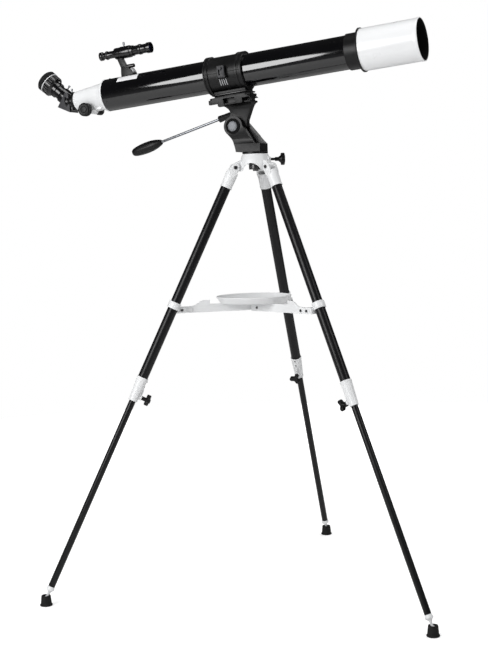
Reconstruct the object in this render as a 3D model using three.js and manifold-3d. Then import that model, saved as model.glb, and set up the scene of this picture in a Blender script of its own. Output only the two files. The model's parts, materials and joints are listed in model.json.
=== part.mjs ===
// A refracting telescope on a folding three-legged stand.
// Lengths are millimetres, angles are degrees, +Z is up and the telescope points along +X.
// The stand's pan axis is the Z axis, and the feet stand on the floor at z = 0.

import * as THREE from 'three';
import { mergeVertices } from 'three/addons/utils/BufferGeometryUtils.js';
import Module from 'manifold-3d';

const wasm = await Module();
wasm.setup();

// Clearances and cutting
const fitGap = 0.3;
const cutOverrun = 3;

// Facets round a full turn, and half as many in each half turn of an outline
const wideSteps = 20;
const roundSteps = 12;
const legSteps = 10;
const smallSteps = 8;
const arcSteps = 3;
const hexSides = 6;

// Stand: where the legs point and how they lean
const firstLegHeading = 94;
const legCount = 3;
const legSlope = 25.75;
const hingeRadius = 48.5;

// Upper leg tube, measured down the leg from its hinge
const upperTubeRadius = 11.5;
const upperTubeWall = 1.2;
const upperTubeStart = 30;
const upperTubeEnd = 541;

// Lower leg tube
const lowerTubeRadius = 7.5;
const lowerTubeWall = 1;
const lowerTubeOverlap = 42;
const lowerTubeStart = upperTubeEnd - lowerTubeOverlap;
const lowerTubeEnd = 1032.6;

// End plug and ball of the lower leg
const tipCollarWall = 1.7;
const tipCollarRadius = lowerTubeRadius + tipCollarWall;
const tipCollarDrop = 5;
const tipCollarWidth = 3;
const tipNeckRadius = 2.9;
const tipNeckDrop = 16;
const ballRadius = 6.5;
const ballDrop = 30.5;
const plugDepth = 20;

// Rubber foot
const footRadius = 14.2;
const footRimHeight = 3.5;
const footHeight = 24;
const footTopRadius = 10.2;
const footMouthGap = 1.3;
const footMouthRadius = ballRadius + footMouthGap;
const footLipHeight = 3.6;
const footBallGap = 0.7;
const ballHeight = 16;

// Hinge bolt
const hingeBoltRadius = 2.5;
const hingeBoltHeadRadius = 4;
const hingeBoltHeadHeight = 1.6;

// Forked knuckle
const lugThickness = 14;
const cheekThickness = 6;
const cheekBossRadius = 9.4;
const knuckleWall = 2.1;
const knuckleRadius = upperTubeRadius + knuckleWall;
const forkDepth = 11.5;
const knuckleGrip = 19.5;
const knuckleEnd = upperTubeStart + knuckleGrip;
const knuckleRimHeight = 3;
const knuckleRimRelief = 0.6;

// Hub casting
const crownAboveHinge = 30.5;
const crownRadius = 29;
const crownRound = 3;
const skirtRadius = 34;
const skirtFlare = 1.8;
const skirtFlareRadius = skirtRadius + skirtFlare;
const skirtFlareDrop = 14;
const skirtWall = 3;
const skirtBelowHinge = 7.5;
const hubPlateAboveHinge = 10.5;
const lugBossRadius = 8.6;
const archRadius = 23;
const archAboveHinge = 9;

// Pan bolt and its nut
const panBoltRadius = 5;
const panBoltReach = 12;
const panNutRadius = 15;
const panNutHeight = 15;
const panNutTipRadius = 6.5;
const panNutTipHeight = 3.5;

// Pan locking knob
const panKnobHeading = 34;
const panKnobBelowCrown = 13;
const panKnobStudRadius = 3;
const panKnobStudDepth = 12;
const panKnobNeckGap = 10.2;
const panKnobNeckStart = skirtFlareRadius + panKnobNeckGap;
const panKnobLength = 20.6;
const panKnobFace = panKnobNeckStart + panKnobLength;
const panKnobNeckRadius = 4.5;
const panKnobFlangeRadius = 14.3;
const panKnobFlangeWidth = 6.5;
const panKnobFluteCount = 8;
const panKnobFluteRadius = 3;

// Leg clamp
const clampGrip = 24.3;
const clampStart = upperTubeEnd - clampGrip;
const clampReach = 33;
const clampEnd = upperTubeEnd + clampReach;
const clampTopWall = 1.9;
const clampTopRadius = upperTubeRadius + clampTopWall;
const clampEndWall = 2.5;
const clampEndRadius = lowerTubeRadius + clampEndWall;
const clampRimHeight = 2.5;
const clampLugRise = 8.5;
const clampLugReach = lowerTubeRadius + clampLugRise;
const clampLugWidth = 12;
const clampLugHeight = 22;
const clampWebWidth = 6;

// Three-lobed clamp knob
const clampKnobFromEnd = 13;
const clampKnobAlongLeg = clampEnd - clampKnobFromEnd;
const clampKnobFromLug = 20;
const clampKnobBack = clampLugReach + clampKnobFromLug;
const clampKnobThickness = 9;
const clampKnobReach = 14;
const clampKnobLobeRadius = 5.2;
const clampKnobWaistRadius = 7;
const clampKnobNeckRadius = 4.6;
const clampScrewRadius = 3;

// Folding brace: its outer pivot from the leg's hinge and axis, its inner one from the middle
const bracePivotAlongLeg = 334.4;
const bracePivotReach = 26;
const bracePivotInset = upperTubeRadius + bracePivotReach;
const braceInnerRadius = 12;
const braceOffset = 15;
const braceArmThickness = 3;

// Brace band with its clevis
const bandBelowPivot = 5.4;
const bandAlongLeg = bracePivotAlongLeg + bandBelowPivot;
const bandWidth = 15.7;
const bandWall = 2.6;
const clevisEarThickness = 3;
const clevisEarRadius = 6.6;
const clevisThroat = 10.5;
const clampBoltFromPivot = 19;
const clampBoltRadius = 4.2;
const clampBoltHeadHeight = 2.4;

// Brace arm
const armHalfDepth = 7.5;
const armEyeRadius = 6.4;
const armPinHeadRadius = 4.6;
const armPinHeadHeight = 1.8;
const armShoulderHeight = 20;
const armRiseOuter = 5;
const armRiseInner = 36;
const traySeatDrop = 9;
const traySeatInset = 48;

// Brace hub
const braceHubHeight = 17;
const braceHubCorner = 7;
const braceHubBoreRadius = 5;

// Accessory tray
const trayRadius = 86;
const trayHeight = 15.7;
const trayFloor = 2.4;
const trayWall = 2;
const trayFlare = 10;
const trayFoldRadius = trayRadius - trayFlare;
const trayRimRadius = 2.6;
const trayShiftX = -11;
const trayShiftY = -4.8;

// Main tube
const tubeRadius = 37.2;
const tubeWall = 1.4;
const tubeBack = 372.8;
const tubeFront = 255;

// Pan washer between the hub and the head
const panWasherRadius = 29;
const panWasherHeight = 4;

// Yoke of the head, from the pan axis and from its own underside
const yokeFront = 21.5;
const yokeBack = 37.7;
const yokeHalfWidth = 23.5;
const yokeBaseHeight = 18;
const yokeToeFront = 7;
const yokeRearBow = 2.1;
const yokeRearBowHeight = 22.2;
const yokeLugRadius = 22.5;
const yokeLugStart = 232;
const yokeFarLugEnd = 24;
const yokeSlotHalfWidth = 9.3;
const yokeSlotRadius = 31.5;
const yokeScoopRadius = 18;
const yokeScoopDepth = 3;
const tiltPivotBack = 42.9;
const tiltPivotAboveYoke = 58.2;

// Tilt axle and its cap
const tiltAxleRadius = 5;
const tiltNutRadius = 9;
const tiltNutHeight = 5;
const tiltCapRingRadius = 17.4;
const tiltCapRingHeight = 1.4;
const tiltCapRadius = 11.4;
const tiltCapHeight = 2.4;
const tiltCapRound = 0.8;

// Where the telescope lies over the tilt pivot
const restPitch = 5.69;
const opticsForward = 55.1;
const opticsAbovePivot = 120.5;

// Tongue of the tilting head, from the tilt pivot
const tongueRadius = 20;
const tongueFront = 27.8;
const tongueKneeHeight = 1;
const tongueSpineHeight = 10;
const tongueSpineFront = 29.2;
const tongueTopFront = 48.6;
const tongueNeckBack = 8;
const tongueNeckHeight = 33;
const tongueTopBack = 22;
const tongueBackBow = 4.4;
const tongueArcStart = -25;
const tongueArcEnd = -225;
const tongueWebHalfWidth = 22;
const tongueWebHeight = 17;

// Platform of the tilting head, from the pan axis along the tube and below the optical axis
const platformBack = 105;
const platformFront = 6;
const platformHalfWidth = 29;
const platformBelowTube = 14.8;
const platformTopDrop = tubeRadius + platformBelowTube;
const platformPlateThickness = 4.5;
const platformShelfDepth = 16;
const platformShelfDrop = platformTopDrop + platformShelfDepth;
const platformShelfThickness = 3.6;
const platformWallThickness = 9;
const rearWingDepth = 14;
const rearWingDrop = platformTopDrop + rearWingDepth;
const rearBlockBack = 82;
const rearBlockFront = 67;
const rearBlockDepth = 21.4;
const rearBlockDrop = platformTopDrop + rearBlockDepth;
const frontBlockBack = 41;
const frontBlockFront = 23;
const frontWingDepth = 9;
const frontWingDrop = platformTopDrop + frontWingDepth;

// Handle
const handleSlope = 11;
const handleAbovePivot = 30.3;
const handleSocketRadius = 8;
const handleSocketMouthRadius = 7.2;
const handleSocketEnd = 41.8;
const handleSocketDepth = 14;
const handleRodRadius = 3;
const gripStart = 197;
const gripLength = 79.8;
const gripRadius = 13;
const gripWallBeyondRod = 18;
// Outline of the grip from its neck to its tail: shares of its length and of its widest radius
const gripOutlineShares = [
  [0, 0.48], [0.08, 0.62], [0.34, 0.96], [0.56, 1], [0.82, 0.86], [0.95, 0.66], [1, 0.41],
];
const gripGrooveShares = [0.26, 0.88];
const gripGrooveCount = 8;
const gripGrooveRadius = 2.6;

// Saddle plate
const saddleBack = 96;
const saddleFront = 11;
const saddleHalfWidth = 27;
const saddleThickness = 6.6;
const saddleLipInset = 4;
const saddleLipDrop = 3.4;

// Tube ring
const ringBack = 106;
const ringFront = 12;
const ringWall = 3.8;
const ringCollarRadius = tubeRadius + ringWall;
const ringRibRise = 3;
const ringRibRadius = ringCollarRadius + ringRibRise;
const ringRearRibWidth = 11;
const ringFrontRibWidth = 17;
const ringRibGroove = 1.6;
const ringRibGrooveWidth = 4;
const ringFootHalfWidth = 22;
const ringLugRise = 7;
const ringLugReach = ringCollarRadius + ringLugRise;
const ringLugHeight = 14;
const ringLugBack = 66;
const ringLugWidth = 17;
const ringHingeRadius = 3.6;
const ringHingePinRadius = 1.4;
const ringHingeKnuckleCount = 5;
const ringGripRibCount = 4;
const ringGripRibWidth = 2;
const ringGripRibReach = 1.3;
const ringGripRibTopDrop = 16;
const ringGripRibBottomDrop = 31;

// Ring latch
const latchThickness = 3.4;
const latchHalfHeight = 14;
const latchSlotWidth = 3;
const latchPinRadius = 2;
const latchScrewRadius = 4;
const latchScrewInset = 6;
const latchPinRise = 3;

// Objective cell and lens
const cellGrip = 25;
const cellBack = tubeFront - cellGrip;
const cellWall = 2.8;
const cellRadius = tubeRadius + cellWall;
const cellShoulder = 3.7;
const cellFlangeBack = tubeFront + cellShoulder;
const cellFlangeWidth = 3.5;
const cellBossLength = 14;
const lensInset = 2.2;
const lensRadius = tubeRadius - lensInset;
const lensThickness = 9;
const lensBulge = 3;
const lensSeatWidth = 2;
const lensRingShare = 0.6;

// Dew shield
const shieldClearance = 9;
const shieldRadius = tubeRadius + shieldClearance;
const shieldFlare = 0.7;
const shieldMouthRadius = shieldRadius + shieldFlare;
const shieldWall = 1.6;
const shieldLength = 134;
const shieldEnd = cellFlangeBack + cellFlangeWidth + shieldLength;
const cellFlangeRise = 2.2;
const cellFlangeRadius = shieldRadius + cellFlangeRise;
const shieldLipWidth = 5;

// Focuser housing
const housingBezelWidth = 4;
const housingShoulderReach = 15.2;
const housingShoulderBack = tubeBack + housingShoulderReach;
const housingShoulderRadius = 30.5;
const housingLength = 85.2;
const housingBack = tubeBack + housingLength;
const housingBackRadius = 21.8;
const housingSpigotInset = 4.2;
const housingSpigotRadius = tubeRadius - housingSpigotInset;
const housingSpigotDepth = 14;
const pinionBossHalfWidth = 16;
const pinionBossHeel = 6.3;

// Drawtube, rack and pinion
const drawtubeRadius = 19.5;
const drawtubeBoreRadius = 16.6;
const drawtubeLength = 106;
const drawtubeFront = housingBack - drawtubeLength;
const drawCollarRadius = 21.6;
const drawCollarWidth = 5.4;
const rackHalfWidth = 4;
const rackFoot = 2.6;
const rackToothCount = 20;
const toothPitch = 3.2;
const toothHeight = 1.8;
const toothFlank = 0.45;
const toothShare = 0.34;
const pinionTipShare = 0.13;
const pinionRootShare = 0.23;
const pinionTeeth = 10;
const pinionFromBack = 37.6;
const pinionBack = housingBack - pinionFromBack;
const pinionBossBehind = 13;
const pinionBossBack = pinionBack + pinionBossBehind;
const pinionBossAhead = 33;
const pinionBossFront = pinionBack - pinionBossAhead;
const focusShaftRadius = 2.5;
const focusKnobGap = 11;
const focusKnobInner = pinionBossHalfWidth + focusKnobGap;
const focusKnobThickness = 16;
const focusKnobOuter = focusKnobInner + focusKnobThickness;
const focusKnobRadius = 16.1;
const focusFarKnobRadius = 10.3;
const focusKnobHubRadius = 8;
const focusKnobHubLength = 8;
const focusKnobFluteCount = 18;
const focusKnobFluteDepth = 1;

// Diagonal
const diagonalNeckRadius = 22.4;
const diagonalNeckWidth = 16.5;
const diagonalPortRadius = 15.9;
const diagonalPortLength = 30;
const diagonalBoreRadius = 13.5;
const diagonalHalfWidth = 19.5;
const diagonalTop = 24;
const diagonalBottom = 25;
const diagonalLip = 9;
const diagonalTail = 36;
const diagonalTailDrop = 7;
const eyepieceBend = 45;
const eyepieceAxisBehind = 17;
const eyepieceAxisBack = housingBack + eyepieceAxisBehind;
const eyepieceSocketRadius = 18.6;
const eyepieceSocketEnd = 29;

// Eyepiece, measured along its own axis
const eyepieceBarrelRadius = 15.87;
const eyepieceBarrelStart = 8;
const eyepieceBarrelWall = 1.6;
const eyepieceCollarStart = 43;
const eyepieceCollarRadius = 18.8;
const eyepieceHeadStart = 55;
const eyepieceHeadEnd = 91;
const eyepieceHeadRadius = 26.6;
const eyepieceHeadTaper = 4;
const eyepieceCupRadius = 15;
const eyepieceCupDepth = 7;
const eyepieceStopRadius = 9;

// Finder, from the pan axis along the tube and above the optical axis
const finderAboveTube = 54.8;
const finderHeight = tubeRadius + finderAboveTube;
const finderBack = 381;
const finderEyeFlangeRadius = 10;
const finderEyeFlangeWidth = 7;
const finderEyeTubeRadius = 7.6;
const finderBodyRadius = 8.6;
const finderBodyStart = 360;
const finderFocusRingRadius = 9.6;
const finderFocusRingWidth = 5;
const finderBarrelRadius = 10.6;
const finderBandRadius = 12.2;
const finderBandBack = 278;
const finderBandWidth = 6;
const finderMouthRadius = 12.4;
const finderMouthWidth = 10;
const finderFront = 246;
const finderWall = 1.4;

// Finder bracket
const finderRingBack = 340;
const finderRingFront = 292;
const finderRingRadius = 14;
const finderStalkTopBack = 337;
const finderStalkTopFront = 322;
const finderStalkBottomBack = 327;
const finderStalkBottomFront = 311;
const finderStalkHalfWidth = 4.5;
const finderFootBack = 327;
const finderFootFront = 296;
const finderFootHalfWidth = 11;
const finderFootRise = 18.8;
const finderFootTop = tubeRadius + finderFootRise;
const finderFootLipRise = 4.8;
const finderFootLip = tubeRadius + finderFootLipRise;
const finderKnobRadius = 4.6;
const finderKnobReach = 10;

// Teeth, facets and reach that several pieces share
const pinionPitchRadius = (pinionTeeth * toothPitch) / (2 * Math.PI);

const radians = THREE.MathUtils.degToRad;

// Finishes
const finish = (color, roughness, metalness = 0) =>
  new THREE.MeshStandardMaterial({ color, roughness, metalness, flatShading: true });

const whitePlastic = finish('#eceeef', 0.42);
const blackPlastic = finish('#1b1b1d', 0.5);
const greyPlastic = finish('#3b3b3e', 0.55);
const blackEnamel = finish('#0b0b0d', 0.18);
const blackLegPaint = finish('#222224', 0.45);
const whiteEnamel = finish('#f0f1f2', 0.35);
const footRubber = finish('#161616', 0.85);
const zincSteel = finish('#b9bcc0', 0.35, 0.9);
const chrome = finish('#d9dbde', 0.12, 1);
const brassPinion = finish('#b08d48', 0.35, 0.9);
const lensGlass = finish('#8fa3b5', 0.05);

// A closed geometry as a solid with shared corners and its faces turned outwards
function solidOf(geometry) {
  const bare = new THREE.BufferGeometry();
  bare.setAttribute('position', geometry.getAttribute('position').clone());
  if (geometry.index) bare.setIndex(geometry.index.clone());
  const merged = mergeVertices(bare);
  const places = merged.getAttribute('position').array;
  const corners = merged.index.array;
  const kept = [];
  let volume = 0;
  const at = (corner) => new THREE.Vector3().fromArray(places, 3 * corner);
  for (let i = 0; i < corners.length; i += 3) {
    const [a, b, c] = [corners[i], corners[i + 1], corners[i + 2]];
    if (a === b || b === c || c === a) continue;
    volume += at(a).dot(at(b).cross(at(c)));
    kept.push(a, b, c);
  }
  if (volume < 0) kept.reverse();
  return new wasm.Manifold(new wasm.Mesh({
    numProp: 3,
    vertProperties: Float32Array.from(places),
    triVerts: Uint32Array.from(kept),
  }));
}

// A solid as a geometry
function geometryOf(solid) {
  const mesh = solid.getMesh();
  const geometry = new THREE.BufferGeometry();
  const places = new Float32Array(mesh.vertProperties);
  geometry.setAttribute('position', new THREE.BufferAttribute(places, 3));
  geometry.setIndex(new THREE.BufferAttribute(new Uint32Array(mesh.triVerts), 1));
  return geometry;
}

const join = (...geometries) =>
  geometryOf(geometries.map(solidOf).reduce((whole, next) => whole.add(next)));

const cut = (geometry, ...tools) =>
  geometryOf(tools.map(solidOf).reduce((whole, tool) => whole.subtract(tool), solidOf(geometry)));

const common = (first, second) => geometryOf(solidOf(first).intersect(solidOf(second)));

// A turned solid about the Z axis; its profile is a list of [radius, height], either way round
function turned(profile, steps = roundSteps) {
  const points = profile.map(([radius, height]) => new THREE.Vector2(radius, height));
  if (THREE.ShapeUtils.area(points) < 0) points.reverse();
  return new THREE.LatheGeometry(points, steps).rotateX(Math.PI / 2);
}

// The same about the X axis; its profile is a list of [radius, place along X]
const turnedAlongX = (profile, steps = roundSteps) => turned(profile, steps).rotateY(Math.PI / 2);

// A ring or tube about the Z axis or the X axis
const ringProfile = (outer, inner, from, to) =>
  [[inner, from], [outer, from], [outer, to], [inner, to], [inner, from]];
const tubeAlongZ = (outer, inner, from, to, steps) =>
  turned(ringProfile(outer, inner, from, to), steps);
const tubeAlongX = (outer, inner, from, to, steps) =>
  turnedAlongX(ringProfile(outer, inner, from, to), steps);

// Round bars, each from one place to another along its axis
function rodAlongZ(radius, from, to, steps = smallSteps) {
  const bar = new THREE.CylinderGeometry(radius, radius, to - from, steps);
  return bar.rotateX(Math.PI / 2).translate(0, 0, (from + to) / 2);
}
const rodAlongX = (radius, from, to, steps) => rodAlongZ(radius, from, to, steps).rotateY(Math.PI / 2);
const rodAlongY = (radius, from, to, steps) => rodAlongZ(radius, -to, -from, steps).rotateX(Math.PI / 2);

// A block between two corners
function block([x0, y0, z0], [x1, y1, z1]) {
  const box = new THREE.BoxGeometry(x1 - x0, y1 - y0, z1 - z0);
  return box.translate((x0 + x1) / 2, (y0 + y1) / 2, (z0 + z1) / 2);
}

// An outline as a shape
function outline(points) {
  return new THREE.Shape(points.map(([a, b]) => new THREE.Vector2(a, b)));
}

// A flat plate: its shape lies in XY, XZ or YZ, and it runs from one place to another
// along the third axis
const extruded = (shape, depth, steps) =>
  new THREE.ExtrudeGeometry(shape, { depth, bevelEnabled: false, curveSegments: steps });
const plateInXY = (shape, from, to, steps = arcSteps) =>
  extruded(shape, to - from, steps).translate(0, 0, from);
const plateInXZ = (shape, from, to, steps = arcSteps) =>
  extruded(shape, to - from, steps).rotateX(Math.PI / 2).translate(0, to, 0);
const plateInYZ = (shape, from, to, steps = arcSteps) =>
  extruded(shape, to - from, steps).rotateY(Math.PI / 2).rotateX(Math.PI / 2).translate(from, 0, 0);

// A circle as a shape
function circle(radius, x = 0, y = 0) {
  return new THREE.Shape().absarc(x, y, radius, 0, 2 * Math.PI);
}

// Copies of a tool at equal turns about the Z axis
const aroundZ = (count, make) =>
  Array.from({ length: count }, (_, i) => make(i).rotateZ((2 * Math.PI * i) / count));

function piece(name, geometry, material) {
  geometry.computeVertexNormals();
  const mesh = new THREE.Mesh(geometry, material);
  mesh.name = name;
  return mesh;
}

function groupAt(x, y, z, ...members) {
  const group = new THREE.Group();
  group.position.set(x, y, z);
  if (members.length) group.add(...members);
  return group;
}

// Places that follow from the sizes
const slope = radians(legSlope);
const legHeading = (i) => radians(firstLegHeading) + (2 * Math.PI * i) / legCount;
const ballAlongLeg = lowerTubeEnd + ballDrop;
const hingeHeight = ballAlongLeg * Math.cos(slope) + ballHeight;
const crownHeight = hingeHeight + crownAboveHinge;
const bracePivotRadius =
  hingeRadius + bracePivotAlongLeg * Math.sin(slope) - bracePivotInset * Math.cos(slope);
const bracePivotHeight =
  hingeHeight - bracePivotAlongLeg * Math.cos(slope) - bracePivotInset * Math.sin(slope);
const braceLength = bracePivotRadius - braceInnerRadius;
const forkHalfWidth = lugThickness / 2 + fitGap + cheekThickness;
const panKnobHeight = crownAboveHinge - panKnobBelowCrown;

// Hub: a bell with three lugs, arched between them; z = 0 at the hinge bolts
function hubCasting() {
  const bore = panBoltRadius + fitGap;
  const skirtInside = skirtFlareRadius - skirtWall;
  const bell = turned([
    [bore, hubPlateAboveHinge],
    [skirtInside, hubPlateAboveHinge],
    [skirtInside, -skirtBelowHinge],
    [skirtFlareRadius, -skirtBelowHinge],
    [skirtFlareRadius, archAboveHinge],
    [skirtRadius, crownAboveHinge - skirtFlareDrop],
    [crownRadius, crownAboveHinge - crownRound],
    [crownRadius - crownRound, crownAboveHinge],
    [bore, crownAboveHinge],
    [bore, hubPlateAboveHinge],
  ], wideSteps);

  const lugRoot = skirtInside + skirtWall / 2;
  const lugShape = new THREE.Shape()
    .moveTo(lugRoot, -lugBossRadius)
    .lineTo(hingeRadius, -lugBossRadius)
    .absarc(hingeRadius, 0, lugBossRadius, -Math.PI / 2, Math.PI / 3)
    .lineTo(skirtRadius, crownAboveHinge - skirtFlareDrop)
    .lineTo(lugRoot, archAboveHinge);
  const lug = (i) => plateInXZ(lugShape, -lugThickness / 2, lugThickness / 2)
    .rotateZ(legHeading(i));
  const boltBore = (i) => rodAlongY(hingeBoltRadius + fitGap, -lugThickness, lugThickness)
    .translate(hingeRadius, 0, 0)
    .rotateZ(legHeading(i));
  const arch = (i) => rodAlongX(archRadius, panNutRadius, skirtFlareRadius + cutOverrun, roundSteps)
    .translate(0, 0, archAboveHinge - archRadius)
    .rotateZ(legHeading(i + 1 / 2));
  const legs = Array.from({ length: legCount }, (_, i) => i);

  const knobSpot = (shape) => shape.translate(0, 0, panKnobHeight).rotateZ(radians(panKnobHeading));
  const knobBoss = knobSpot(
    rodAlongX(2 * panKnobStudRadius, crownRadius - crownRound, skirtFlareRadius));
  const knobBore = knobSpot(
    rodAlongX(panKnobStudRadius + fitGap, skirtRadius - panKnobStudDepth,
      skirtFlareRadius + cutOverrun));
  return cut(join(bell, knobBoss, ...legs.map(lug)),
    knobBore, ...legs.map(boltBore), ...legs.map(arch));
}

// Hinge bolt: a shank with a round head at each end, along Y
function hingeBolt() {
  const headStart = forkHalfWidth + fitGap;
  const headEnd = headStart + hingeBoltHeadHeight;
  return join(
    rodAlongY(hingeBoltRadius, -headEnd, headEnd),
    rodAlongY(hingeBoltHeadRadius, headStart, headEnd),
    rodAlongY(hingeBoltHeadRadius, -headEnd, -headStart));
}

// Knuckle: a sleeve for the tube with a fork over the hub's lug
function knuckle() {
  const bore = upperTubeRadius + fitGap;
  const boreTop = -upperTubeStart + fitGap;
  const sleeve = turned([
    [bore, -knuckleEnd],
    [knuckleRadius, -knuckleEnd],
    [knuckleRadius, -knuckleEnd + knuckleRimHeight],
    [knuckleRadius - knuckleRimRelief, -knuckleEnd + knuckleRimHeight],
    [knuckleRadius, -forkDepth - cheekBossRadius],
    [knuckleRadius, -forkDepth],
    [0, -forkDepth],
    [0, boreTop],
    [bore, boreTop],
    [bore, -knuckleEnd],
  ], legSteps);
  const tab = new THREE.Shape()
    .absarc(0, 0, cheekBossRadius, 0, Math.PI)
    .absarc(0, -knuckleRadius, cheekBossRadius, Math.PI, 2 * Math.PI);
  const near = plateInXZ(tab, -forkHalfWidth, -forkHalfWidth + cheekThickness);
  const far = plateInXZ(tab, forkHalfWidth - cheekThickness, forkHalfWidth);
  const boltBore = rodAlongY(hingeBoltRadius + fitGap, -2 * forkHalfWidth, 2 * forkHalfWidth);
  const tubeBore = rodAlongZ(bore, -knuckleEnd - cutOverrun, boreTop, legSteps);
  return cut(join(sleeve, near, far), boltBore, tubeBore);
}

const upperTube = () => tubeAlongZ(
  upperTubeRadius, upperTubeRadius - upperTubeWall, -upperTubeEnd, -upperTubeStart, legSteps);

const lowerTube = () => tubeAlongZ(
  lowerTubeRadius, lowerTubeRadius - lowerTubeWall, -lowerTubeEnd, -lowerTubeStart, legSteps);

// Clamp: a tapered sleeve that steps from the upper to the lower tube, with a boss for its screw
function legClamp() {
  const upperBore = upperTubeRadius + fitGap;
  const lowerBore = lowerTubeRadius + fitGap;
  const shoulder = -upperTubeEnd - fitGap;
  const sleeve = turned([
    [upperBore, -clampStart],
    [upperBore, shoulder],
    [lowerBore, shoulder],
    [lowerBore, -clampEnd],
    [clampEndRadius, -clampEnd],
    [clampEndRadius, -clampEnd + clampRimHeight],
    [clampTopRadius, -clampStart - clampRimHeight],
    [clampTopRadius, -clampStart],
    [upperBore, -clampStart],
  ], legSteps);
  const boss = rodAlongX(clampLugWidth / 2, -clampLugReach, -lowerBore)
    .translate(0, 0, -clampKnobAlongLeg);
  const web = plateInXZ(outline([
    [-lowerBore, -clampKnobAlongLeg - clampLugWidth / 2],
    [-clampLugReach + fitGap, -clampKnobAlongLeg],
    [-clampTopRadius, -clampKnobAlongLeg + clampLugHeight],
    [-lowerBore, -clampKnobAlongLeg + clampLugHeight],
  ]), -clampWebWidth / 2, clampWebWidth / 2);
  const screwBore = rodAlongX(clampScrewRadius + fitGap, -clampLugReach - cutOverrun, 0)
    .translate(0, 0, -clampKnobAlongLeg);
  const lowerHollow = rodAlongZ(lowerBore, -clampEnd - cutOverrun, shoulder, legSteps);
  const upperHollow = rodAlongZ(upperBore, shoulder, -clampStart + cutOverrun, legSteps);
  return cut(join(sleeve, boss, web), screwBore, lowerHollow, upperHollow);
}

// Clamp knob: three round lobes on a screw along X
function clampKnob() {
  const front = -clampKnobBack + clampKnobThickness;
  const lobe = (i) => {
    const angle = (2 * Math.PI * i) / 3;
    const reach = clampKnobReach - clampKnobLobeRadius;
    return plateInYZ(circle(clampKnobLobeRadius, reach * Math.cos(angle), reach * Math.sin(angle)),
      -clampKnobBack, front);
  };
  return join(
    rodAlongX(clampKnobWaistRadius, -clampKnobBack, front),
    rodAlongX(clampKnobNeckRadius, front, -clampLugReach - fitGap),
    rodAlongX(clampScrewRadius, front, -lowerTubeRadius - 2 * fitGap),
    lobe(0), lobe(1), lobe(2));
}

// End plug of the lower tube, its neck and ball
function legTip() {
  const plug = lowerTubeRadius - lowerTubeWall - fitGap;
  const top = -lowerTubeEnd - fitGap;
  const ball = -ballAlongLeg;
  const neckAngle = Math.asin(tipNeckRadius / ballRadius);
  const ballProfile = Array.from({ length: arcSteps + 1 }, (_, i) => {
    const angle = neckAngle + ((Math.PI - neckAngle) * i) / arcSteps;
    return [ballRadius * Math.sin(angle), ball + ballRadius * Math.cos(angle)];
  });
  ballProfile[arcSteps][0] = 0;
  return turned([
    [0, -lowerTubeEnd + plugDepth],
    [plug, -lowerTubeEnd + plugDepth],
    [plug, top],
    [lowerTubeRadius, top],
    [tipCollarRadius, -lowerTubeEnd - tipCollarDrop],
    [tipCollarRadius, -lowerTubeEnd - tipCollarDrop - tipCollarWidth],
    [tipNeckRadius, -lowerTubeEnd - tipNeckDrop],
    ...ballProfile,
  ], legSteps);
}

// Rubber foot; its ball's centre is the origin
function rubberFoot() {
  const socket = ballRadius + footBallGap;
  const top = footHeight - ballHeight;
  const lipAngle = Math.acos(footLipHeight / socket);
  const socketProfile = Array.from({ length: arcSteps + 1 }, (_, i) => {
    const angle = lipAngle + ((Math.PI - lipAngle) * i) / arcSteps;
    return [socket * Math.sin(angle), socket * Math.cos(angle)];
  });
  socketProfile[arcSteps][0] = 0;
  return turned([
    [0, -ballHeight],
    [footRadius, -ballHeight],
    [footRadius, -ballHeight + footRimHeight],
    [(footRadius + footTopRadius) / 2, -ballHeight + 2 * footRimHeight],
    [footTopRadius, top],
    [footMouthRadius, top],
    ...socketProfile,
  ]);
}

// Brace band: a ring on the tube with a level clevis, its rivet and its clamp bolt
function braceBand() {
  const inside = upperTubeRadius + fitGap;
  const outside = inside + bandWall;
  const ring = tubeAlongZ(outside, inside,
    -bandAlongLeg - bandWidth / 2, -bandAlongLeg + bandWidth / 2, legSteps);
  const earGap = braceArmThickness / 2 + fitGap;
  const earFar = earGap + clevisEarThickness;
  const blockEnd = bracePivotInset / Math.cos(slope) - inside;
  const ear = new THREE.Shape()
    .absarc(0, 0, clevisEarRadius, Math.PI / 2, (3 * Math.PI) / 2)
    .lineTo(clevisThroat + fitGap, -clevisEarRadius)
    .lineTo(clevisThroat + fitGap, clevisEarRadius);
  const level = [
    plateInXZ(ear, -braceOffset - earFar, -braceOffset - earGap),
    plateInXZ(ear, -braceOffset + earGap, -braceOffset + earFar),
    rodAlongY(hingeBoltRadius, -braceOffset - earFar - hingeBoltHeadHeight, -braceOffset + earFar),
    rodAlongY(hingeBoltHeadRadius,
      -braceOffset - earFar - hingeBoltHeadHeight, -braceOffset - earFar + fitGap),
    block([clevisThroat, -braceOffset - earFar, -clevisEarRadius],
      [blockEnd + bandWall, 0, clevisEarRadius]),
    rodAlongY(clampBoltRadius, -braceOffset - earFar - clampBoltHeadHeight, clampBoltHeadHeight)
      .translate(clampBoltFromPivot, 0, 0),
  ].map((shape) => shape.rotateY(slope).translate(-bracePivotInset, 0, -bracePivotAlongLeg));
  const hollow = rodAlongZ(inside, -bandAlongLeg - 2 * bandWidth, -bandAlongLeg + 2 * bandWidth,
    legSteps);
  return cut(join(ring, ...level), hollow);
}

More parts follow.
